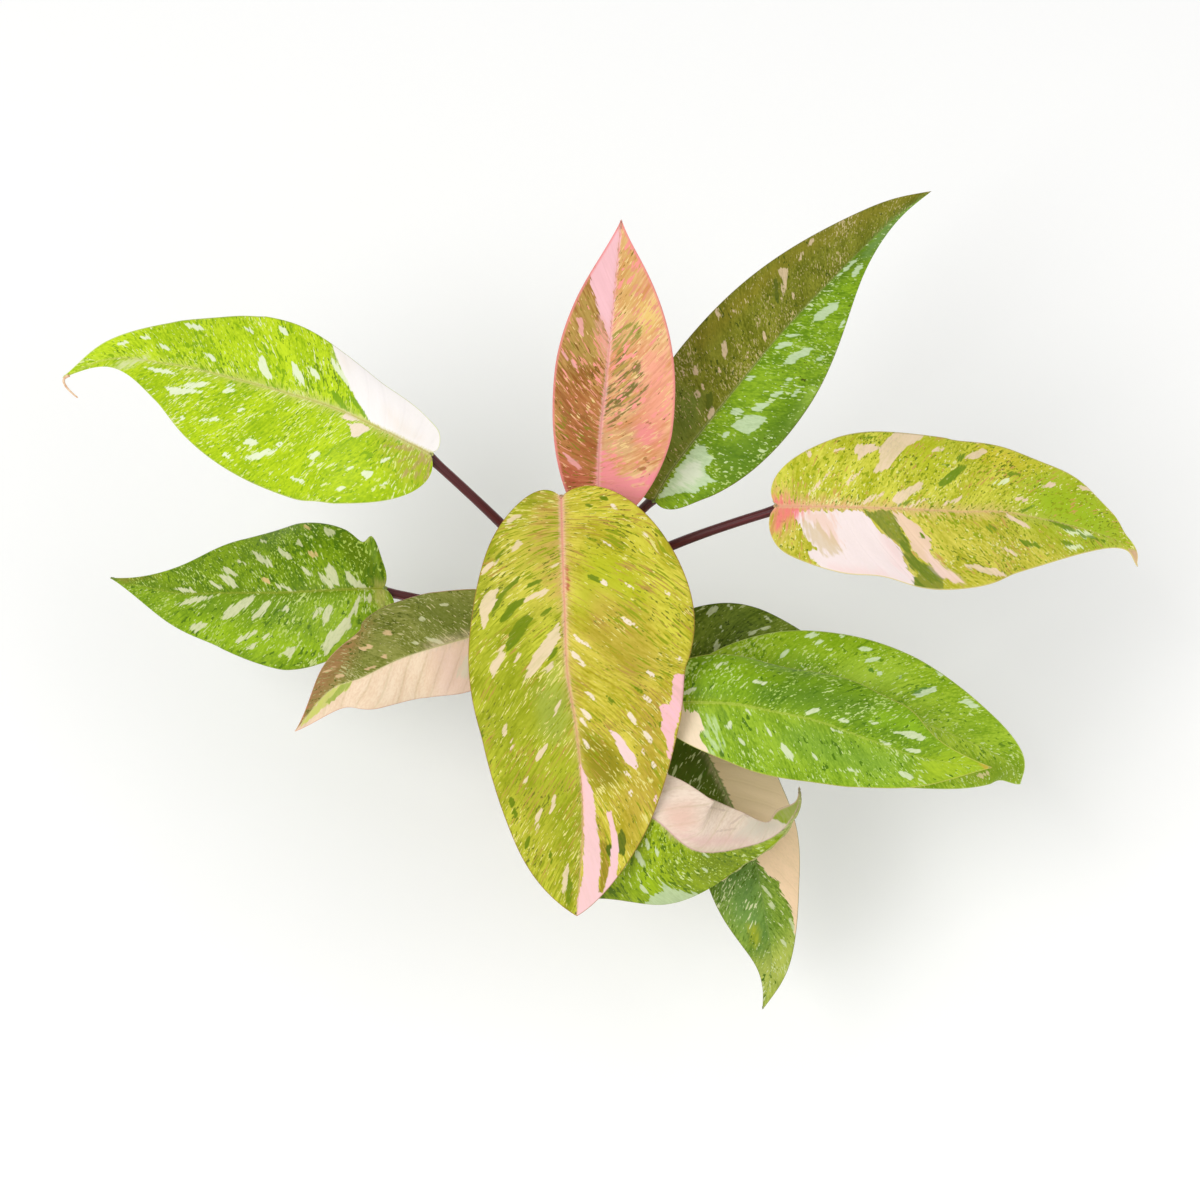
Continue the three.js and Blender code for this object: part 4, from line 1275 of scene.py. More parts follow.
grow_leaf(
    "06", "leaf_cream",
    {
        "rib": [(-29, -24, 222), (-64, -35, 222), (-87, -39, 213), (-106, -44, 202), (-123, -46, 190),
            (-141, -60, 172)],
        "face": [(-0.1, -0.2, 1), (-0.2, -0.3, 0.9)],
        "left": half(30, 0.3, 9, (0.2, 0.18, 0.3), (-19, -32, -20), -31),
        "right": half(36, 0.5, 18, (0.5, 0.5, 0.1), (-9, -21, -19), -16),
    },
    {
        "deep": ("#EACCAC", "#6C7420"), "light": ("#F6DFC2", "#929448"),
        "flecks": [("#5A6218", 3.0, 1.2, 1.0, 0.65), ("#A8A86A", 2.4, 0.7, 1.0, 0.63),
            ("#C0B880", 4.5, 0.9, 1.0, 0.665)],
        "rib": ("#A5A464", "#C9C088", 0.8, 0.6), "glow": ("#8A9038", 2, 0.3), "margin": ("#E0A890", 0.6),
        "under": "#C3B594", "gloss": 0.45,
    },
    wash("#A8704E", 15, 0.8, [(290, 731), (300, 700), (318, 665), (346, 632), (368, 622), (346, 668),
        (322, 704)], side="right"),
    wash("#5E6C20", 12, 0.5, [(425, 600), (480, 600), (480, 636), (440, 640), (420, 630)], side="right"),
    mark("#D8B888", *dashes((358, 649, 374, 647, 4), (381, 633, 394, 634, 5), (346, 642, 360, 636, 4),
        (323, 672, 340, 668, 3), (335, 678, 346, 675, 3), (320, 662, 330, 656, 3),
        (381, 656, 388, 658, 4), (365, 670, 378, 666, 3)), side="right", fray=1.5),
    mark("#C8C898", *dashes((423, 637, 444, 644, 4), (400, 607, 411, 606, 3), (419, 618, 426, 622, 4),
        (411, 643, 420, 644, 3), (440, 606, 450, 604, 3)), side="right", fray=1.5),
    mark("#E8C2B8", [(430, 640), (480, 638), (480, 700), (440, 700)], side="left", soft=16, strength=0.6),
    mark("#D4CEB4", [(457, 676), (463, 657), (470, 651), (475, 656), (470, 678)], side="left", soft=3,
        strength=0.7),
    mark("#C8CC66", [(301, 726), (307, 713), (315, 702), (328, 691), (355, 677), (350, 687), (327, 705),
        (315, 715)], side="left", fray=1.5),
    mark("#98AA44", [(324, 703), (335, 692), (345, 683), (353, 682), (343, 692), (330, 703)], side="left",
        fray=1.5, strength=0.9),
    mark("#CC644C", [(288, 736), (298, 708), (308, 682), (312, 684), (304, 714)], soft=4, strength=0.9),
)

# Leaf 07 lies over leaves 01 and 04. Its green is smooth, its upper half rolls over in a soft
# wave, and a cream patch sits by the stalk.

grow_leaf(
    "07", "leaf_green",
    {
        "rib": [(35, -68, 228), (68, -71, 234), (91, -74, 231), (112, -77, 226), (135, -83, 219),
            (162, -89, 210), (196, -90, 200)],
        "face": [(0, -0.3, 1), (0, -0.3, 0.95)],
        "left": half(31, 0.34, 8, (0.5, 0.4, 0.34), (18, 4, 5), -50),
        "swells": [("left", 0.42, 0.12, (0, -5.5, -2.5)), ("left", 0.75, 0.08, (1, 3.6, 1.6))],
        "right": half(30, 0.37, 5, (0.4, 0.24, 0.28), (0, 0, 0), -13),
    },
    {
        "deep": ("#5E8404", "#6C9208"), "light": ("#86AC18", "#9ABC2C"),
        "flecks": [("#507604", 4.5, 1.8, 0.64, 0.66), ("#B0CA68", 1.8, 0.8, 0.645, 0.64),
            ("#C2D488", 3.5, 1.0, 0.675, 0.67)],
        "rib": ("#9DB436", "#BCC85A", 1.0, 0.7), "glow": ("#A0B828", 5, 0.5), "margin": ("#C4C45C", 0.6),
        "under": "#A2B47C", "gloss": 0.4,
    },
    # Painted shade: a darker band in the trough of the upper half's soft wave.
    wash("#557A1C", 14, 0.7, [(755, 684), (800, 682), (850, 693), (890, 706), (860, 716), (800, 706),
        (760, 698)], side="left"),
    wash("#84A80C", 8, 0.6, [(700, 655), (740, 654), (790, 676), (780, 684), (720, 672), (695, 668)],
        side="left"),
    wash("#7CA43C", 16, 0.5, [(800, 725), (850, 745), (900, 760), (880, 775), (820, 762), (780, 740)],
        side="right"),
    wash("#98C41C", 10, 0.6, [(880, 712), (915, 716), (925, 734), (900, 730), (870, 722)], side="left"),
    wash("#B4CC22", 20, 0.75, [(925, 762), (965, 750), (1000, 766), (960, 785), (915, 780)]),
    mark("#BCD494", [(700, 735), (706, 718), (716, 728), (724, 745), (712, 754), (704, 750)],
        side="right", soft=3, fray=8, strength=0.8, streaky=True),
    mark("#F0DABC", [(668, 712), (680, 703), (689, 713), (696, 711), (702, 720), (703, 731), (701, 738),
        (708, 748), (706, 754), (690, 752), (668, 735)], side="right", fray=4, veil=0.1),
    mark("#D4DEB4", [(724, 725), (731, 721), (730, 731), (725, 728)], [(892, 732), (903, 731), (917, 733),
        (925, 736), (922, 741), (912, 739)], *dashes((803, 713, 820, 709, 5), (898, 772, 914, 778, 6),
        (780, 743, 793, 761, 6), (903, 749, 921, 752, 4), (681, 695, 699, 687, 4),
        (838, 720, 850, 722, 3), (700, 666, 712, 659, 3), (713, 668, 728, 662, 3),
        (745, 709, 752, 716, 3), (752, 682, 766, 683, 4), (829, 728, 842, 733, 3),
        (868, 722, 880, 724, 3), (765, 727, 772, 736, 3), (738, 738, 746, 746, 3),
        (880, 742, 892, 745, 3), (846, 768, 858, 772, 3), (812, 754, 820, 762, 3)), fray=1.8),
    mark("#C9A23A", [(980, 762), (990, 760), (998, 768), (985, 772)], soft=4, strength=0.9),
)

# Leaf 08 reaches out high at the left, bright lime with green grain. The base of its right half
# rolls up and shows a clean white sector.

grow_leaf(
    "08", "leaf_lime",
    {
        "rib": [(-73, 53, 250), (-102, 65, 258), (-128, 78, 256), (-181, 103, 240), (-209, 117, 226),
            (-240, 129, 210), (-267, 126, 196)],
        "face": [(0, -0.2, 1), (0, -0.3, 0.95)],
        "left": half(49, 0.28, 15, (0.55, 0.5, 0.09), (-1, -7, 1), -28),
        "right": half(34, 0.48, 12, (0.2, 0.32, 0.27), (8, 8, 4), -24),
        "swells": [("right", 0.26, 0.07, (-2.6, -2.9, -1.4)), ("right", 0.38, 0.05, (0.4, 1.8, 0.7)),
            ("right", 0.72, 0.12, (0, 1.4, 0.5)), ("right", 0.11, 0.03, (1.0, 0.4, 0))],
    },
    {
        "deep": ("#94B600", "#9ABC00"), "light": ("#BED818", "#C6E024"),
        "flecks": [("#86AC04", 4.5, 1.3, 0.61, 0.61), ("#D6E080", 3.0, 0.7, 0.64, 0.65),
            ("#DEE6A0", 4.5, 1.0, 0.67, 0.67), ("#6C8C10", 3.0, 0.8, 0.7, 0.665)],
        "rib": ("#BCB060", "#D4D08C", 1.7, 0.75), "glow": ("#CCC678", 5, 0.8), "margin": ("#D8E488", 0.6),
        "under": "#B4C27C",
    },
    wash("#A8A43C", 12, 0.5, [(378, 432), (425, 446), (436, 470), (430, 492), (400, 480), (380, 455)],
        side="left"),
    mark("#F6F1EF", [(322, 328), (334, 347), (337, 360), (347, 382), (359, 404), (370, 422), (400, 439),
        (433, 458), (450, 452), (452, 420), (400, 370), (335, 320)], side="right", fray=1.5, veil=0.03),
    mark("#F0E4D6", [(338, 348), (352, 366), (346, 372), (337, 362)], [(385, 408), (420, 438),
        (400, 436)], side="right", soft=10, strength=0.6),
    mark("#EFDCC8", [(347, 424), (360, 423), (371, 429), (364, 433), (356, 439), (351, 435), (351, 429)],
        [(341, 418), (347, 412), (354, 416), (361, 421), (350, 421)], fray=1.5, veil=0.1),
    mark("#B8906C", *dashes((429, 455, 400, 478, 4), (430, 457, 412, 482, 3), (431, 458, 424, 484, 3),
        (428, 453, 396, 462, 3), (426, 450, 385, 446, 4)), side="left", fray=3, soft=1, strength=0.6),
    mark("#78A20C", [(330, 392), (335, 390), (341, 396), (343, 403), (349, 411), (342, 409), (335, 401)],
        *dashes((347, 391, 368, 420, 4), (301, 338, 306, 348, 3), (263, 344, 268, 353, 3),
        (275, 366, 283, 374, 3)), fray=2),
    mark("#E4ECC8", [(258, 356), (263, 357), (268, 366), (273, 377), (271, 381), (264, 377), (260, 369)],
        [(165, 387), (173, 387), (200, 390), (204, 392), (185, 394), (172, 394)],
        *dashes((182, 387, 210, 384, 6), (292, 362, 304, 387, 8), (310, 367, 321, 381, 5),
        (330, 356, 351, 390, 5), (243, 442, 259, 442, 7), (242, 461, 279, 448, 7),
        (306, 457, 323, 453, 6), (362, 475, 374, 473, 9), (223, 455, 231, 456, 5),
        (237, 410, 247, 410, 4), (180, 418, 185, 418, 5), (157, 344, 172, 350, 4),
        (246, 327, 255, 335, 4), (277, 326, 289, 336, 5), (205, 353, 217, 361, 5),
        (184, 324, 205, 330, 5), (222, 392, 237, 390, 4), (226, 386, 236, 384, 3),
        (200, 421, 222, 418, 4), (140, 337, 150, 339, 3), (118, 344, 128, 343, 3),
        (275, 446, 285, 441, 4), (380, 462, 392, 457, 4), (344, 470, 354, 466, 4),
        (290, 478, 306, 482, 5), (336, 490, 346, 486, 4), (378, 486, 390, 482, 4),
        (145, 368, 178, 374, 4)), fray=1.8, veil=0.12),
    mark("#D8DCA8", [(110, 370), (125, 361), (150, 357), (128, 368)], soft=3, strength=0.8),
)

# Leaf 09 points away to the back right. Its left half is a dark bronze green with cream dashes
# and its right half a clear green with mint patches by the stalk.

grow_leaf(
    "09", "leaf_dark",
    {
        "rib": [(35, 28, 250), (44, 42, 256), (60, 62, 262), (92, 104, 266), (120, 142, 258),
            (156, 190, 242), (180, 217, 230)],
        "face": [(0.1, -0.3, 0.95), (0.1, -0.3, 0.95)],
        "left": half(35, 0.3, 8, (0.47, 0.2, 0.35), (-8, -14, -10), -11),
        "right": half(36, 0.3, 8, (0.4, 0.64, 0.05), (8, 0, 4), -38),
    },
    {
        "deep": ("#5E6402", "#628800"), "light": ("#8A8C28", "#92B620"),
        "flecks": [("#4A5604", 3.5, 1.5, 0.65, 0.72), ("#B0A468", 1.8, 0.7, 0.645, 1.0),
            ("#B4CA74", 2.0, 0.9, 1.0, 0.645), ("#C8B682", 4.5, 0.8, 0.675, 1.0),
            ("#C8DA9E", 4.0, 1.3, 1.0, 0.665)],
        "rib": ("#5C6620", "#A2A468", 0.9, 0.8), "glow": ("#6A7420", 2.5, 0.4),
        "margin": ("#8A7A3A", 0.5), "under": "#8FA070",
    },
    wash("#6C8436", 13, 0.6, [(640, 500), (660, 440), (676, 385), (705, 395), (700, 430), (672, 470)],
        side="left"),
    wash("#8E8220", 9, 0.6, [(690, 335), (740, 290), (800, 240), (860, 210), (930, 188), (860, 226),
        (800, 258), (745, 308), (700, 352)], side="left"),
    wash("#4A6416", 7, 0.75, [(786, 326), (818, 286), (850, 244), (882, 212), (912, 200), (884, 240),
        (862, 264), (838, 282), (812, 304)], side="right"),
    wash("#7CA058", 5, 0.6, [(862, 258), (880, 226), (908, 202), (925, 192), (890, 232), (870, 256)],
        side="right"),
    wash("#A8C850", 6, 0.6, [(780, 432), (812, 385), (818, 390), (800, 418), (784, 438)], side="right"),
    wash("#466C14", 10, 0.6, [(712, 448), (760, 432), (800, 400), (800, 430), (745, 484), (690, 504),
        (716, 482)], side="right"),
    mark("#C6DCB0", [(656, 500), (665, 488), (681, 463), (696, 446), (705, 445), (706, 451), (712, 455),
        (710, 463), (704, 468), (709, 475), (718, 481), (701, 486), (696, 492), (676, 494)], side="right",
        fray=2.5),
    mark("#E2E8D0", [(674, 486), (688, 462), (700, 462), (702, 476), (690, 486)], side="right", soft=4,
        strength=0.8, fray=4),
    mark("#C4D8AC", [(731, 426), (738, 420), (747, 416), (766, 417), (764, 424), (756, 428), (749, 434),
        (739, 433)], *dashes((729, 412, 744, 412, 7), (751, 411, 769, 403, 6), (811, 323, 839, 302, 9),
        (780, 366, 815, 346, 8), (774, 348, 792, 343, 5), (785, 337, 802, 334, 4),
        (783, 382, 791, 379, 4), (835, 279, 858, 258, 4), (852, 277, 862, 264, 6),
        (745, 380, 756, 376, 4), (768, 398, 782, 392, 4), (722, 437, 730, 432, 4),
        (814, 362, 824, 356, 3), (790, 398, 800, 388, 3), (838, 330, 845, 318, 3)), side="right", fray=2),
    mark("#D6BE98", [(778, 269), (787, 269), (787, 280), (783, 300), (781, 303), (782, 282)],
        *dashes((724, 339, 725, 360, 6), (713, 406, 709, 420, 6), (695, 365, 697, 376, 5),
        (695, 389, 699, 400, 5), (763, 330, 766, 341, 4), (683, 368, 684, 378, 3),
        (808, 247, 813, 239, 4), (720, 320, 717, 308, 5), (793, 300, 794, 292, 3),
        (734, 316, 733, 308, 3), (758, 316, 758, 328, 3), (703, 382, 704, 392, 4),
        (719, 365, 720, 375, 3), (799, 262, 803, 252, 3), (747, 350, 748, 360, 3)), side="left",
        fray=1.5),
    mark("#4A5A08", *dashes((775, 278, 777, 304, 7), (710, 392, 708, 412, 8), (756, 255, 752, 275, 3)),
        side="left", fray=3, strength=0.8),
)

# Leaf 10 reaches out at the right on the longest bare stalk. It is yellow lime with dark green
# stripes and a broad blush-white sector, and ends in a dried thread.

grow_leaf(
    "10", "leaf_lime",
    {
        "rib": [(94, 27, 245), (121, 23, 252), (152, 23, 250), (182, 26, 241), (208, 31, 230),
            (248, 33, 208), (272, 33, 190), (278, 24, 184)],
        "face": [(0, -0.3, 0.95), (0.1, -0.3, 0.95)],
        "left": half(42, 0.27, 11, (0.43, 0.36, 0.62), (8, 2, 4), -40),
        "right": half(40, 0.34, 12, (0.4, 0.34, 0.14), (4, 6, 2), 6),
        "swells": [("right", 0.15, 0.07, (-1.2, -2.6, -0.6)), ("right", 0.35, 0.045, (0, 3.2, 1.0)),
            ("left", 0.8, 0.07, (1.4, 2.4, 0.8)), ("left", 0.95, 0.025, (-2.0, -1.6, -0.4))],
    },
    {
        "deep": ("#A8AE0C", "#A8A814"), "light": ("#DAD850", "#DAD054"),
        "flecks": [("#93A210", 3.0, 1.5, 0.61, 0.63), ("#E2DE90", 2.0, 0.9, 0.65, 0.64),
            ("#6C7E0C", 1.8, 0.8, 0.66, 0.655), ("#C8A050", 6.0, 0.8, 0.655, 0.645)],
        "rib": ("#DCA284", "#E4BE92", 1.6, 0.9), "streaky": 0.1, "glow": ("#DDBC7C", 6, 1.2),
        "margin": ("#E6D68C", 0.7), "under": "#B4B67C",
    },
    wash("#96BA0C", 30, 0.9, [(1030, 466), (1100, 485), (1135, 545), (1090, 555), (1020, 520)]),
    wash("#B4C010", 12, 0.6, [(905, 440), (950, 440), (960, 470), (930, 480), (905, 460)]),
    wash("#DCC830", 10, 0.6, [(975, 446), (1010, 450), (1050, 468), (1030, 474), (985, 462)]),
    wash("#E4A67C", 10, 0.6, [(774, 480), (800, 498), (850, 503), (850, 512), (800, 520), (778, 540)],
        streaky=True),
    mark("#F2E2E0", [(792, 511), (862, 511), (870, 519), (881, 532), (900, 547), (904, 560), (907, 568),
        (914, 578), (914, 592), (898, 588), (834, 580), (820, 568), (811, 558), (807, 551), (817, 550),
        (808, 540), (800, 525)], side="right", fray=2.5, veil=0.05),
    mark("#EBC6B0", [(796, 511), (832, 511), (838, 530), (842, 548), (830, 542), (812, 525)],
        side="right", soft=4, strength=0.7, fray=6),
    mark("#D4BE92", [(802, 520), (820, 525), (830, 537), (843, 550), (840, 557), (827, 555), (817, 548),
        (807, 535)], side="right", soft=3, strength=0.75, fray=7),
    mark("#EFC8C0", [(880, 532), (900, 547), (906, 568), (914, 580), (896, 566), (884, 545)], [(830, 566),
        (880, 572), (905, 584), (850, 580)], side="right", soft=7, strength=0.5),
    mark("#78842A", [(862, 512), (888, 511), (898, 516), (899, 526), (906, 538), (911, 548), (910, 553),
        (920, 561), (933, 568), (943, 578), (942, 592), (915, 592), (914, 580), (918, 574), (910, 567),
        (905, 555), (900, 547), (882, 530), (870, 518)], side="right", fray=2, veil=0.35),
    mark("#5E7810", [(900, 534), (908, 542), (912, 556), (926, 566), (940, 580), (930, 584), (918, 572),
        (906, 556), (899, 544)], [(914, 580), (930, 590), (915, 592)], side="right", soft=2, strength=0.7,
        fray=5),
    mark("#EDCDB0", [(890, 511), (900, 514), (917, 525), (930, 540), (930, 552), (940, 565), (958, 577),
        (963, 584), (952, 583), (942, 577), (932, 567), (920, 560), (911, 550), (910, 542), (902, 530),
        (898, 522)], side="right", fray=2, veil=0.1),
    mark("#F3D4C8", [(926, 548), (940, 565), (958, 577), (963, 584), (942, 577), (930, 566)],
        side="right", soft=4, strength=0.8),
    mark("#EDD3B4", [(854, 448), (857, 445), (876, 445), (878, 449), (866, 455), (859, 461)], [(877, 449),
        (895, 432), (926, 432), (920, 441), (910, 445), (900, 453), (890, 466), (878, 474), (873, 473),
        (878, 462), (880, 455)], [(893, 500), (898, 492), (910, 487), (921, 481), (924, 484), (920, 490),
        (908, 498), (897, 507)], [(963, 459), (970, 453), (985, 449), (986, 453), (977, 460)],
        *dashes((1076, 486, 1098, 492, 5), (1039, 488, 1055, 484, 5), (964, 565, 1006, 576, 7),
        (1000, 512, 1029, 528, 4), (1000, 547, 1021, 557, 4), (1012, 499, 1028, 500, 3),
        (840, 490, 862, 470, 3), (808, 496, 832, 470, 3), (860, 505, 885, 492, 4),
        (905, 508, 930, 498, 3), (940, 506, 965, 496, 3), (806, 450, 812, 458, 4),
        (834, 452, 844, 448, 3), (932, 452, 944, 448, 4), (968, 440, 990, 443, 4)), fray=2),
    mark("#E4EEBC", *dashes((1062, 528, 1094, 538, 6), (1064, 547, 1087, 547, 4),
        (992, 486, 1008, 480, 5))),
    mark("#6E8C12", [(936, 484), (945, 478), (950, 472), (959, 466), (968, 462), (966, 468), (955, 479),
        (942, 488)], *dashes((956, 462, 965, 454, 5), (1045, 519, 1080, 533, 5),
        (1076, 534, 1104, 541, 3), (1018, 540, 1042, 548, 5), (985, 523, 997, 533, 6),
        (1002, 474, 1021, 474, 4), (1016, 512, 1041, 505, 3), (1060, 541, 1072, 545, 4),
        (898, 506, 912, 500, 3), (942, 464, 950, 466, 3), (918, 534, 924, 539, 4),
        (861, 440, 874, 437, 3)), fray=2),
    mark("#EE7078", [(772, 494), (794, 503), (806, 508), (792, 522), (774, 530)], soft=7, strength=0.85,
        fray=6),
    mark("#CFA58C", [(1128, 550), (1142, 548), (1142, 572), (1129, 572)], soft=2, strength=0.9),
)

# Leaf 11, the broadest, lies over the middle of the plant. It is olive lime with ochre and dark
# dashes, a rose midrib, and clean rose streaks at its tip and right margin.

grow_leaf(
    "11", "leaf_olive",
    {
        "rib": [(-9, 11, 285), (-8, -22, 289), (-7, -47, 279), (-6, -67, 259), (-2, -86, 238),
            (1, -117, 207), (-2, -154, 170)],
        "face": [(0, -0.15, 1), (0, -0.75, 0.65)],
        "left": half(60, 0.31, 16, (0.2, 0.15, 0.47), (8, 6, 6), -24),
        "right": half(45, 0.4, 14, (0.6, 0.13, 0.63), (8, 6, 2), -6),
    },
    {
        "deep": ("#A49A08", "#8A9206"), "light": ("#DED050", "#CACC3C"),
        "flecks": [("#B49440", 12.0, 0.7, 0.61, 0.63), ("#929C14", 10.0, 0.8, 0.63, 0.6),
            ("#E2D880", 4.0, 0.6, 0.655, 0.65), ("#747A1C", 3.0, 0.7, 0.665, 0.66)],
        "rib": ("#E2968A", "#F0C0A4", 2.1, 0.72), "streaky": 0.2, "glow": ("#D8B478", 5, 0.9),
        "margin": ("#A8743E", 0.5), "under": "#B4B67C",
    },
    wash("#D8C850", 22, 0.6, [(490, 540), (540, 506), (562, 502), (566, 600), (540, 620), (492, 580)],
        side="right"),
    wash("#C89A5C", 10, 0.6, [(535, 500), (562, 500), (566, 600), (552, 596), (528, 545)], side="right",
        streaky=True),
    wash("#D8D840", 20, 0.6, [(576, 500), (640, 520), (684, 590), (690, 640), (670, 650), (640, 560)],
        side="left"),
    wash("#B0BC04", 14, 0.75, [(588, 545), (625, 555), (650, 590), (640, 615), (600, 590), (585, 625),
        (574, 610)], side="left"),
    wash("#B4983C", 16, 0.55, [(590, 590), (640, 610), (660, 660), (640, 690), (600, 650), (580, 640)],
        side="left"),
    wash("#8E9E10", 20, 0.5, [(484, 620), (520, 650), (556, 700), (580, 750), (580, 860), (556, 850),
        (500, 780), (478, 720)], side="right"),
    wash("#9CAC50", 10, 0.55, [(535, 690), (560, 660), (572, 720), (560, 745), (540, 735)], side="right"),
    wash("#B8B434", 14, 0.5, [(500, 790), (545, 790), (560, 850), (550, 890), (515, 840)], side="right"),
    wash("#7C7408", 9, 0.85, [(582, 730), (600, 736), (616, 750), (626, 770), (614, 788), (598, 790),
        (587, 770)], side="left"),
    wash("#B8983A", 14, 0.6, [(640, 690), (668, 690), (664, 780), (630, 850), (618, 800), (640, 760)],
        side="left"),
    wash("#8A7812", 2, 0.9, [(600, 838), (610, 845), (611, 862), (604, 894), (598, 893), (601, 870)],
        side="left"),
    mark("#688004", [(493, 561), (498, 553), (510, 543), (508, 548), (502, 555), (496, 562)], [(488, 619),
        (493, 608), (495, 600), (503, 589), (519, 577), (518, 582), (506, 594), (492, 617)], [(500, 625),
        (502, 616), (508, 605), (515, 600), (526, 596), (523, 603), (509, 618)], [(510, 632), (517, 621),
        (525, 615), (532, 616), (532, 620), (522, 637), (518, 643), (505, 652), (507, 643)],
        *dashes((524, 588, 543, 579, 4), (540, 616, 551, 608, 4), (547, 662, 558, 646, 5),
        (587, 575, 602, 582, 5), (586, 537, 614, 549, 3), (606, 695, 616, 704, 5),
        (634, 685, 643, 695, 5), (479, 742, 483, 728, 4), (510, 797, 514, 807, 5),
        (514, 809, 516, 818, 4), (526, 848, 529, 835, 4), (568, 869, 569, 907, 7),
        (658, 720, 662, 731, 4), (584, 504, 592, 506, 4), (600, 497, 608, 500, 3),
        (635, 549, 640, 552, 4), (676, 612, 682, 616, 3), (550, 850, 552, 866, 3)), fray=2),
    mark("#4E6410", *dashes((621, 827, 622, 858, 9), (609, 842, 610, 858, 6)), side="left", fray=2),
    mark("#E8D2AC", [(481, 595), (490, 590), (500, 588), (497, 596), (490, 612), (484, 629), (480, 612)],
        [(490, 664), (497, 655), (501, 645), (505, 646), (505, 652), (500, 665), (492, 679)], [(520, 686),
        (526, 671), (532, 656), (548, 633), (560, 620), (560, 636), (547, 657), (530, 677)], [(522, 603),
        (532, 593), (550, 587), (548, 592), (532, 600)], *dashes((508, 552, 523, 541, 5),
        (481, 577, 495, 559, 5), (542, 674, 553, 662, 5), (535, 834, 541, 806, 5),
        (551, 814, 555, 795, 4), (563, 898, 567, 864, 6), (505, 524, 524, 514, 5),
        (492, 570, 500, 558, 3), (548, 568, 559, 565, 5), (514, 662, 520, 650, 4),
        (504, 736, 506, 722, 3), (510, 750, 512, 734, 3), (537, 760, 547, 744, 5),
        (526, 790, 527, 776, 3), (554, 716, 560, 700, 4)), side="right", fray=2.5),
    mark("#F3E2CC", [(570, 649), (574, 650), (580, 658), (587, 665), (583, 666), (573, 657)],
        *dashes((571, 632, 593, 651, 4), (600, 579, 609, 585, 5), (619, 616, 639, 628, 4),
        (646, 669, 654, 677, 5), (585, 690, 596, 701, 4), (641, 694, 653, 704, 5),
        (581, 707, 591, 721, 5), (579, 717, 588, 729, 4), (627, 709, 637, 727, 5),
        (643, 728, 653, 746, 6), (651, 760, 656, 769, 5), (624, 769, 631, 779, 4),
        (629, 789, 632, 797, 4), (600, 541, 616, 548, 3), (641, 531, 648, 538, 3),
        (664, 590, 672, 596, 3), (676, 655, 682, 662, 4), (610, 505, 618, 510, 4),
        (582, 738, 590, 750, 4), (642, 748, 644, 756, 3), (622, 582, 634, 590, 3)), side="left",
        fray=1.5),
    mark("#FAC0CA", [(673, 674), (690, 674), (684, 698), (674, 734), (671, 765), (667, 756), (667, 740),
        (660, 729), (663, 718), (658, 703), (667, 705), (672, 699), (672, 683)], side="left", fray=1.5),
    mark("#F4D4D2", [(606, 728), (618, 732), (625, 741), (636, 760), (640, 771), (625, 762), (615, 740)],
        side="left", fray=1.5, veil=0.1),
    mark("#F4C8CA", [(580, 764), (587, 778), (593, 791), (595, 808), (599, 842), (601, 858), (598, 893),
        (604, 892), (617, 874), (622, 884), (575, 922), (574, 914), (583, 876), (584, 842), (583, 800)],
        [(607, 810), (611, 811), (617, 832), (619, 845), (616, 880), (603, 893), (608, 876), (612, 845),
        (609, 823)], [(652, 798), (657, 794), (655, 805)], side="left", fray=1.5, veil=0.1),
    mark("#B04438", [(565, 565), (568, 566), (569, 596), (566, 592)], soft=1.5, strength=0.8),
)

# Leaf 12, the newest, stands almost upright behind it. It is still peach and olive, with a clean
# pink sector at its tip, hot pink at its base and a rose edge all round.

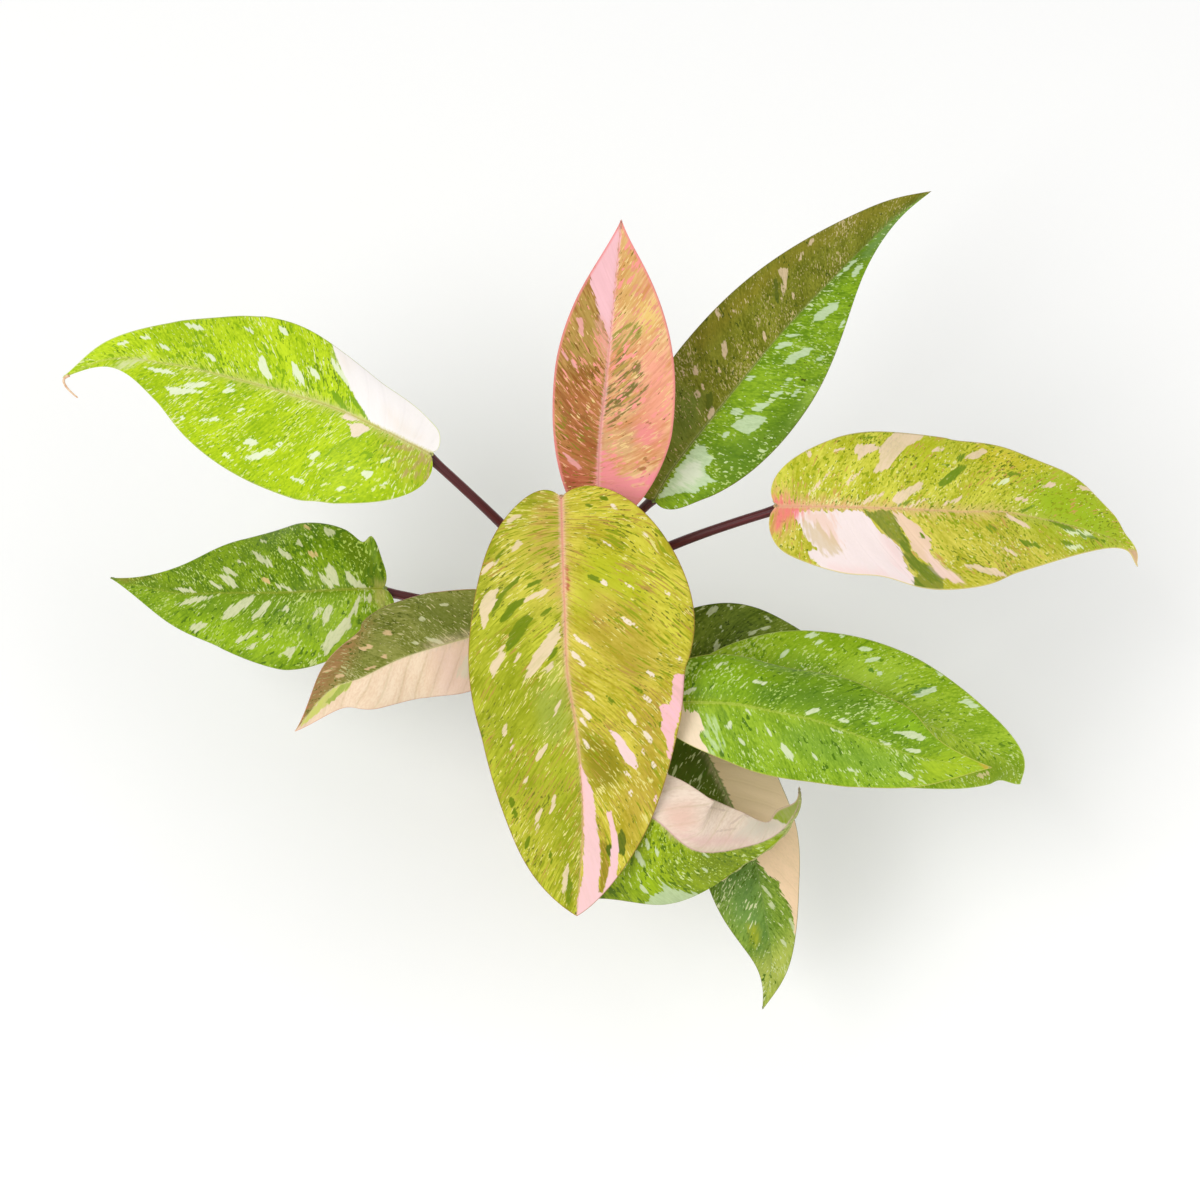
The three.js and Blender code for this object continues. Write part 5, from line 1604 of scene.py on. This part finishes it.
grow_leaf(
    "12", "leaf_pink",
    {
        "rib": [(8, 21, 262), (9, 41, 285), (12, 63, 305), (15, 91, 320), (19, 134, 330)],
        "face": [(0, -0.6, 0.8), (0, -0.6, 0.8)],
        "left": half(24.5, 0.43, 22, (0.42, 0.25, 0.26), (18, 12, 5), -13),
        "right": half(33.5, 0.3, 17, (0.55, 0.23, 0.27), (18, 12, 5), -13),
    },
    {
        "deep": ("#8E561E", "#D08C58"), "light": ("#D2A65E", "#F4CC96"),
        "flecks": [("#8C7C28", 6.0, 1.0, 0.61, 0.68), ("#DE9478", 7.0, 1.0, 0.62, 0.61),
            ("#7E5A20", 4.0, 0.8, 0.64, 0.7), ("#F0988C", 6.0, 1.6, 0.68, 0.62),
            ("#EAC888", 5.0, 0.8, 0.67, 0.63)],
        "rib": ("#E09898", "#F2BEB4", 1.7, 0.5), "streaky": 0.3, "glow": ("#D89078", 3.5, 0.7),
        "margin": ("#EC8C8A", 1.7), "under": "#C9A088", "gloss": 0.45,
    },
    wash("#D2AC5C", 12, 0.8, [(622, 232), (636, 262), (640, 300), (625, 330), (616, 300)], side="right"),
    wash("#E2C05C", 9, 0.65, [(640, 300), (655, 300), (660, 325), (648, 335), (636, 330)], side="right"),
    wash("#EE9484", 13, 0.75, [(642, 352), (664, 352), (672, 400), (664, 448), (640, 448), (636, 424),
        (646, 395)], side="right", fray=8),
    wash("#A89044", 10, 0.7, [(582, 290), (594, 300), (606, 340), (600, 360), (575, 372), (566, 350)],
        side="left"),
    wash("#B0623C", 14, 0.7, [(558, 390), (604, 395), (600, 470), (562, 484)], side="left"),
    wash("#7A4C18", 8, 0.6, [(560, 395), (590, 415), (592, 438), (570, 430), (558, 415)], side="left",
        streaky=True, fray=8),
    wash("#CC5C58", 9, 0.55, [(556, 440), (566, 460), (598, 478), (600, 500), (562, 505)], side="left"),
    wash("#8A8A2C", 2, 0.9, [(614, 344), (615, 335), (621, 328), (630, 325), (641, 322), (640, 331),
        (633, 343), (617, 356)], side="right", fray=9, streaky=True),
    wash("#6A6424", 3, 0.95, [(610, 381), (612, 366), (621, 358), (634, 354), (636, 366), (643, 380),
        (644, 396), (639, 404), (625, 413), (611, 424), (604, 420), (607, 399)], side="right", fray=10,
        streaky=True),
    mark("#B89A48", *dashes((612, 375, 634, 358, 3), (614, 392, 638, 372, 3), (622, 404, 644, 388, 3)),
        side="right", fray=2),
    wash("#B08050", 8, 0.5, [(604, 425), (630, 412), (640, 430), (636, 452), (606, 455)], side="right",
        streaky=True),
    mark("#F2BEC4", [(621, 220), (617, 228), (609, 240), (598, 258), (591, 273), (590, 284), (595, 301),
        (600, 315), (605, 327), (611, 344), (614, 312), (618, 262)], side="left", fray=2.5, veil=0.08),
    mark("#E8A898", [(599, 318), (604, 326), (609, 344), (608, 362), (602, 350), (597, 330)], side="left",
        soft=5, strength=0.7, fray=5),
    mark("#F0A8A8", [(577, 318), (582, 317), (584, 327), (583, 336), (579, 331)],
        *dashes((563, 453, 584, 472, 5), (562, 350, 568, 360, 3), (572, 360, 577, 369, 3)), side="left",
        fray=2, strength=0.85),
    mark("#F4909E", [(595, 490), (598, 470), (601, 456), (609, 460), (622, 474), (636, 482), (652, 474),
        (662, 474), (652, 500), (640, 520), (620, 520)], side="right", fray=12, soft=5, strength=0.95),
    mark("#EE8890", [(635, 426), (650, 422), (657, 434), (648, 446), (638, 440)], side="right", soft=6,
        strength=0.8),
    mark("#A87040", *dashes((643, 457, 649, 462, 4), (637, 470, 648, 467, 4), (646, 424, 652, 422, 3)),
        side="right", fray=2),
)

# Leaf stalks. Firm maroon stalks, round above and winged below, where the sheath clasped the
# stem. Each leaves its ring on the stem and flattens into the underside of its midrib.

STALK_BASE = 2.9 * MM
STALK_TIP = 2.3 * MM
STALK_COLLAR = 0.5 * MM
STALK_REACH = 1.6 * MM
STALK_WING = 2.3 * MM
STALK_THINS = 0.7
STALK_MERGE = 0.55
STALK_CLEARANCE = 0.3 * MM
STALK_RISE = 0.3
STALK_SPREAD = 0.12
STALK_ARRIVAL = 0.3
COLLAR_BEGINS = 0.9
WING_FADES = (0.36, 0.46)
STALK_AROUND = 40
STALK_STEPS = 90
WING_ANGLES = np.radians([0, 28, 48, 95, 140, 180])
WING_SHARES = [0, 0.7, 1, 0.15, 0, 0]
GROOVE_ANGLES = np.radians([0, 28, 180])
GROOVE_SHARES = [-0.25, 0, 0]
RIB_MERGE = 11 * MM
MERGE_STEPS = 13
MERGE_DEPTH = 1.2 * MM
# Where a stalk doesn't leave the stem straight towards its blade: its azimuth in degrees
LEAVES_TOWARDS = {
    "01": -80, "02": 0, "04": -60, "05": -104, "09": 85, "10": 25, "11": 150, "12": 50,
}


def tube_along(name, stations, around, reach, upper):
    """A grid rolled round a route: reach gives the radius by angle and share of the way, and
    upper is the side where the angle is 0. Its seam and its ends are closed."""
    steps = len(stations) - 1
    bpy.ops.object.select_all(action="DESELECT")
    bpy.ops.mesh.primitive_grid_add(x_subdivisions=around, y_subdivisions=steps, size=2)
    tube = bpy.context.object
    tube.name = name
    flat = read_places(tube)
    angle = math.pi * flat[:, 0]
    share = (flat[:, 1] + 1) / 2
    at = np.rint(share * steps).astype(int)
    along = unit(np.gradient(stations, axis=0))
    inner = unit(upper - along * np.sum(upper * along, axis=1, keepdims=True))
    side = np.cross(along, inner)
    ring = inner[at] * np.cos(angle)[:, None] + side[at] * np.sin(angle)[:, None]
    write_places(tube, stations[at] + reach(angle, share)[:, None] * ring)
    tube.data.uv_layers[0].name = "lengthwise"
    edit(tube)
    bpy.ops.mesh.remove_doubles(threshold=SAME_PLACE / 2)
    bpy.ops.mesh.select_mode(type="EDGE")
    bpy.ops.mesh.select_all(action="DESELECT")
    bpy.ops.mesh.select_non_manifold()
    bpy.ops.mesh.edge_face_add()
    bpy.ops.mesh.select_all(action="SELECT")
    bpy.ops.mesh.normals_make_consistent(inside=False)
    done()
    smooth(tube, degrees=60)
    return tube


def stalk_stations(name, leaf):
    """A stalk's route from its ring on the stem to its seat under the midrib, and on along it,
    with its way out of the stem and the share of the route at which the midrib takes over."""
    point, along, out, _, _ = (value[0] for value in rib_frame(leaf, np.zeros(1)))
    under = HALF_THICKNESS + RIB_DEPTH + STALK_CLEARANCE + STALK_TIP + STALK_COLLAR
    end = point - out * under + along * STALK_REACH
    azimuth = math.atan2(end[1], end[0])
    if name in LEAVES_TOWARDS:
        azimuth = math.radians(LEAVES_TOWARDS[name])
    outward = np.array((math.cos(azimuth), math.sin(azimuth), 0))
    start = outward * (STEM_RADIUS - 1 * MM) + np.array((0, 0, leaf["node"] * MM))
    reach = np.linalg.norm(end - start)
    rising = start + np.array((0, 0, STALK_RISE * reach)) + outward * STALK_SPREAD * reach
    arriving = unit(end - rising)
    share = np.linspace(0, 1, STALK_STEPS + 1)
    stations = bezier([start, rising, end - arriving * STALK_ARRIVAL * reach, end], share)
    merge = np.linspace(0, RIB_MERGE, MERGE_STEPS + 1)[1:]
    rib, _, rib_out, _, _ = rib_frame(leaf, STALK_REACH + merge)
    depth = under - (under - MERGE_DEPTH) * (merge / RIB_MERGE)
    seat = len(stations) / (len(stations) + MERGE_STEPS)
    return np.vstack([stations, rib - rib_out * depth[:, None]]), outward, seat


def grow_stalk(name, leaf, finish):
    """One finished leaf stalk."""
    stations, outward, seat = stalk_stations(name, leaf)

    def reach(angle, share):
        """The radius of the stalk, in the round of its wings, groove and collar."""
        u = share / seat
        winged = 1 - smooth_share(u, *WING_FADES)
        taper = STALK_BASE + (STALK_TIP - STALK_BASE) * np.minimum(1, u / STALK_THINS)
        collar = STALK_COLLAR * smooth_share(u, COLLAR_BEGINS, 1)
        merging = 1 - STALK_MERGE * smooth_share(u, 1, 1 / seat)
        wing = np.interp(np.abs(angle), WING_ANGLES, WING_SHARES) * STALK_WING * winged
        groove = np.interp(np.abs(angle), GROOVE_ANGLES, GROOVE_SHARES) * winged
        return ((taper + collar) * (1 + groove) + wing) * merging

    upper = np.array((0, 0, 1.0)) - outward
    stalk = tube_along("stalk_of_" + name, stations, STALK_AROUND, reach, upper)
    hand_over(stalk, finish, "stalk", "stalk_" + name)


def lined_finish(name, count, scale):
    """A material that starts with lines along a tube, and its coordinates round and along."""
    finish, tree = new_finish(name)
    skin = add(tree, "ShaderNodeUVMap", uv_map="lengthwise").outputs[0]
    around, along, _ = add(tree, "ShaderNodeSeparateXYZ", {0: skin}).outputs
    turns = number(tree, "MULTIPLY", around, count)
    lines = add(tree, "ShaderNodeCombineXYZ", {0: turns, 1: along}).outputs[0]
    return finish, tree, noise(tree, lines, scale, 3.0), around, along


stalk_finish, tree, lined, around, along = lined_finish("stalk_skin", 26.0, 1.6)
maroon = blend(tree, step(tree, lined, 0.35, 0.65), paint("#36060A"), paint("#641619"))
wing_side = number(tree, "ABSOLUTE", number(tree, "SUBTRACT", around, 0.5))
on_wing = step(tree, along, 0.42, 0.36)
on_wing = number(tree, "MULTIPLY", on_wing, step(tree, wing_side, 0.24, 0.12))
maroon = blend(tree, number(tree, "MULTIPLY", on_wing, 0.75), maroon, paint("#A86A54"))
close_finish(
    tree,
    Base_Color=blend(tree, step(tree, along, 0.12, 0.0), maroon, paint("#7E6A3A")),
    Roughness=0.36,
    Normal=relief(tree, lined, 0.25 * MM),
)
for name, leaf in leaves.items():
    grow_stalk(name, leaf, stalk_finish)

# Dry tip of leaf 08. The end of its drip tip has dried to a thin peach thread, which hangs back
# from the point of the blade.

THREAD_CORNERS = np.array((
    (-263, 126, 198), (-269.5, 126, 195), (-265, 121, 193), (-259.3, 117.3, 190.5),
)) * MM
THREAD_STEPS = 24
THREAD_SIDES = 10
THREAD_BASE = 0.8 * MM
THREAD_THINS = 0.4 * MM


def thread_reach(angle, share):
    """The radius of the thread, the same all round."""
    return THREAD_BASE - THREAD_THINS * share


thread_stations = bezier(THREAD_CORNERS, np.linspace(0, 1, THREAD_STEPS + 1))
straight_up = np.array((0.0, 0.0, 1.0))
thread = tube_along("dry_tip_of_08", thread_stations, THREAD_SIDES, thread_reach, straight_up)
thread_finish, tree = new_finish("dry_tip")
dried = noise(tree, place_on(tree), 500.0, 3.0)
close_finish(
    tree,
    Base_Color=blend(tree, step(tree, dried, 0.35, 0.65), paint("#D8A880"), paint("#F0D2B0")),
    Roughness=0.7,
    Normal=relief(tree, dried, 0.1 * MM),
)
hand_over(thread, thread_finish, "leaf_cream")

# New shoot. The next leaf is still rolled in its sheath, a blunt pink point that leans a little
# out of the top of the stem.

SHOOT_RADIUS = 3.6 * MM
SHOOT_LENGTH = 46 * MM
SHOOT_LEAN = np.array((5, 7, 0)) * MM
SHOOT_SPAN = (0.18, 0.81)
SHOOT_BODY = 0.94
LAP_HEIGHT = 0.12
LAP_TURN = 0.35
SHOOT_STEPS = 48
SHOOT_SIDES = 36
shoot_foot = np.array((0, 0, STEM_TOP - 2 * MM))
shoot_share = np.linspace(0, 1, SHOOT_STEPS + 1)[:, None]
shoot_middle = shoot_foot + np.array((0, 0, 0.5 * SHOOT_LENGTH))
shoot_tip = np.array((0, 0, STEM_TOP + SHOOT_LENGTH)) + SHOOT_LEAN
shoot_stations = (
    (1 - shoot_share) ** 2 * shoot_foot
    + 2 * shoot_share * (1 - shoot_share) * shoot_middle
    + shoot_share ** 2 * shoot_tip
)


def shoot_reach(angle, share):
    """A spindle with the edge of its rolled sheath standing out a little."""
    swell = SHOOT_RADIUS * np.sqrt(np.sin(math.pi * (SHOOT_SPAN[0] + SHOOT_SPAN[1] * share)))
    lap = LAP_HEIGHT * np.mod((angle + math.pi) / math.tau + LAP_TURN * share, 1)
    return swell * (SHOOT_BODY + lap)


to_the_back = np.array((0.0, 1.0, 0.0))
shoot = tube_along("new_shoot_sheath", shoot_stations, SHOOT_SIDES, shoot_reach, to_the_back)
shoot_finish, tree, lined, _, along = lined_finish("shoot_sheath", 22.0, 1.4)
blush = blend(tree, step(tree, lined, 0.35, 0.65), paint("#B4574E"), paint("#DA8C7C"))
close_finish(
    tree,
    Base_Color=blend(tree, step(tree, along, 0.35, 0.05), blush, paint("#A8984E")),
    Roughness=0.4,
    Normal=relief(tree, lined, 0.2 * MM),
)
hand_over(shoot, shoot_finish, "shoot", "new_shoot")
